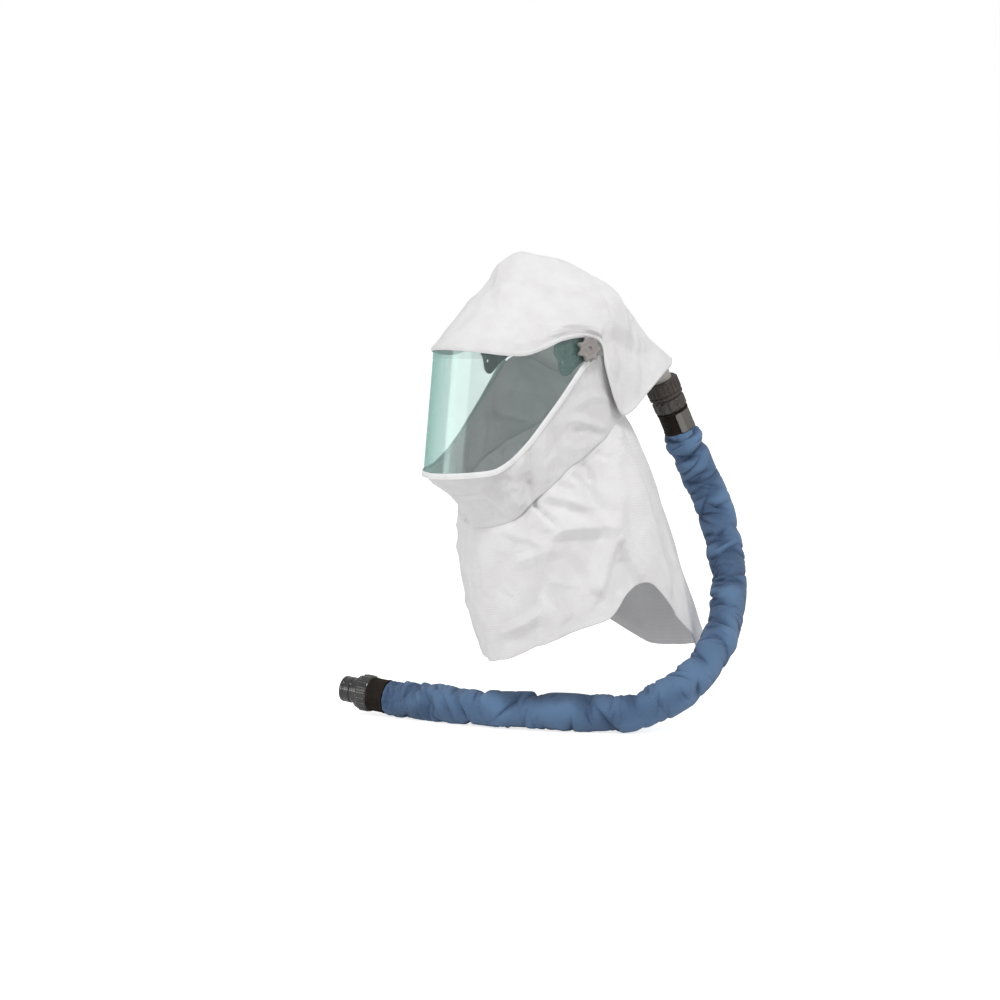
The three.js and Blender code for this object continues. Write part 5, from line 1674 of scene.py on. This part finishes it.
end_nut_plastic = moulded_plastic(
    "end_nut_plastic", (0.009, 0.0085, 0.0085, 1), (0.034, 0.032, 0.031, 1), roughness=0.18, coat=0.9
)
end_nut_body = rounded_profile([
    (STEM_RADIUS + CLEARANCE, END_NUT_START), (END_NUT_RADIUS - 1, END_NUT_START),
    (END_NUT_RADIUS, END_NUT_START + 1.6), (END_NUT_RADIUS, END_NUT_START + 15.6),
    (END_NUT_RADIUS - 2.2, END_NUT_START + 18), (END_NUT_RADIUS - 2.2, END_NUT_END - 1),
    (END_NUT_RADIUS - 3.4, END_NUT_END), (STEM_RADIUS + CLEARANCE, END_NUT_END),
], rounding=0.6, closed=True)
end_nut = joined(
    "end_nut_ribbed",
    turned_mesh("nut", end_frame, end_nut_body, closed=True),
    ribs("end_nut_ribs", end_frame, END_NUT_TEETH_MIDDLE, end_nut_plastic, END_NUT_TEETH,
         END_NUT_TEETH_RADIUS, END_NUT_TOOTH, END_NUT_TOOTH_WIDTH, END_NUT_TOOTH_LENGTH),
)
end_nut = add_piece(end_nut, end_nut_plastic, "end_nut", "end_nut_plastic", "end_nut")

plug_plastic = moulded_plastic(
    "plug_plastic", (0.009, 0.0085, 0.0085, 1), (0.03, 0.028, 0.028, 1), roughness=0.14, coat=0.9
)
plug_body = rounded_profile([
    (0, END_NUT_START), (STEM_RADIUS, END_NUT_START), (STEM_RADIUS, SPIGOT_START),
    (SPIGOT_RADIUS, SPIGOT_START), (SPIGOT_RADIUS, SPIGOT_START + 5),
    (SPIGOT_RADIUS - 1.4, SPIGOT_START + 5.6), (SPIGOT_RADIUS - 1.4, SPIGOT_START + 8.6),
    (SPIGOT_RADIUS, SPIGOT_START + 9.2),
    (SPIGOT_RADIUS, SPIGOT_START + 17), (SPIGOT_RADIUS - 0.9, SPIGOT_START + 17.5),
    (SPIGOT_RADIUS - 0.9, SPIGOT_START + 19.5), (SPIGOT_RADIUS, SPIGOT_START + 20),
    (SPIGOT_RADIUS, SPIGOT_END - 2), (SPIGOT_RADIUS - 1.2, SPIGOT_END), (SPIGOT_BORE_RADIUS, SPIGOT_END),
    (SPIGOT_BORE_RADIUS, SPIGOT_END - SPIGOT_BORE_DEPTH), (0, SPIGOT_END - SPIGOT_BORE_DEPTH),
], rounding=0.7)
plug = add_piece(turned_mesh("end_plug_spigot", end_frame, plug_body),
                 plug_plastic, "hood", "plug_plastic", "end_plug")

tuple(hose_line[0] * MM)
hose_length * MM
(hose_line[::6] * MM).tolist() + [(hose_line[-1] * MM).tolist()]


# Studio: a plain pale floor under a white world, and the camera at the photograph's angle.
# A wide softbox stands before the visor, the key light hangs above the near side a little to the front,
# a fill stands behind the near side, and a low strip lies before the hose's loose end.
CAMERA_EYE = np.array([2217.9, -1523.3, -7.0]) * MM
CAMERA_TARGET = np.array([-37.9, -58.4, -242.3]) * MM
CAMERA_LENS = 68.45
FLOOR_REACH = 40.0
FLOOR_SEGMENTS = 64
FLOOR_BELOW = 0.3
FLOOR_GLOW = 0.75
WORLD_LIGHT = 0.55


def aimed(obj, position, target):
    obj.location = position
    obj.rotation_euler = (Vector(target) - Vector(position)).to_track_quat("-Z", "Y").to_euler()


def soft_light(name, position, target, width, height, power):
    light = bpy.data.lights.new(name, "AREA")
    light.shape = "RECTANGLE"
    light.size = width
    light.size_y = height
    light.energy = power
    aimed(linked(name, light), position, target)


floor_level = np.full(FLOOR_SEGMENTS, FLOOR_HEIGHT - FLOOR_BELOW)
floor_rim = np.column_stack([circle(0, 0, FLOOR_REACH / MM, FLOOR_SEGMENTS), floor_level])
floor_mesh = bpy.data.meshes.new("studio_floor")
floor_mesh.from_pydata((floor_rim * MM).tolist(), [], [list(range(FLOOR_SEGMENTS))])
floor_mesh.materials.append(finished("pale_floor", lambda wire: {
    "Base Color": (0.88, 0.88, 0.88, 1),
    "Roughness": 0.9,
    "Specular IOR Level": 0.0,
    "Emission Color": (1, 1, 1, 1),
    "Emission Strength": wire.node("ShaderNodeLightPath", output="Is Camera Ray") * FLOOR_GLOW,
}))
floor = linked("studio_floor", floor_mesh)

soft_light("visor_softbox", (-0.28, -2.05, 0.08), (-0.05, -0.1, -0.12), width=1.45, height=0.7, power=4.5)
soft_light("key_light", (1.7, -0.75, 2.5), (0, 0, -0.2), width=0.8, height=0.8, power=43)
soft_light("back_fill", (2.0, 1.5, 1.0), (0, 0.1, -0.25), width=0.8, height=0.8, power=7)
soft_light("low_strip", (-0.14, -1.08, -0.42), (-0.21, -0.19, -0.53), width=0.9, height=0.1, power=0.9)

world = bpy.data.worlds.new("white_world")
world.use_nodes = True
sky = world.node_tree.nodes["Background"]
sky.inputs["Color"].default_value = (1, 1, 1, 1)
seen = Wire(world.node_tree).node("ShaderNodeLightPath", output="Is Camera Ray")
world.node_tree.links.new((seen * (1 - WORLD_LIGHT) + WORLD_LIGHT).socket, sky.inputs["Strength"])
bpy.context.scene.world = world
bpy.context.scene.view_settings.view_transform = "Standard"

lens = bpy.data.cameras.new("photo_camera")
lens.lens = CAMERA_LENS
lens.sensor_width = 36.0
lens.clip_end = 100.0
camera = linked("photo_camera", lens)
aimed(camera, CAMERA_EYE, CAMERA_TARGET)
bpy.context.scene.camera = camera
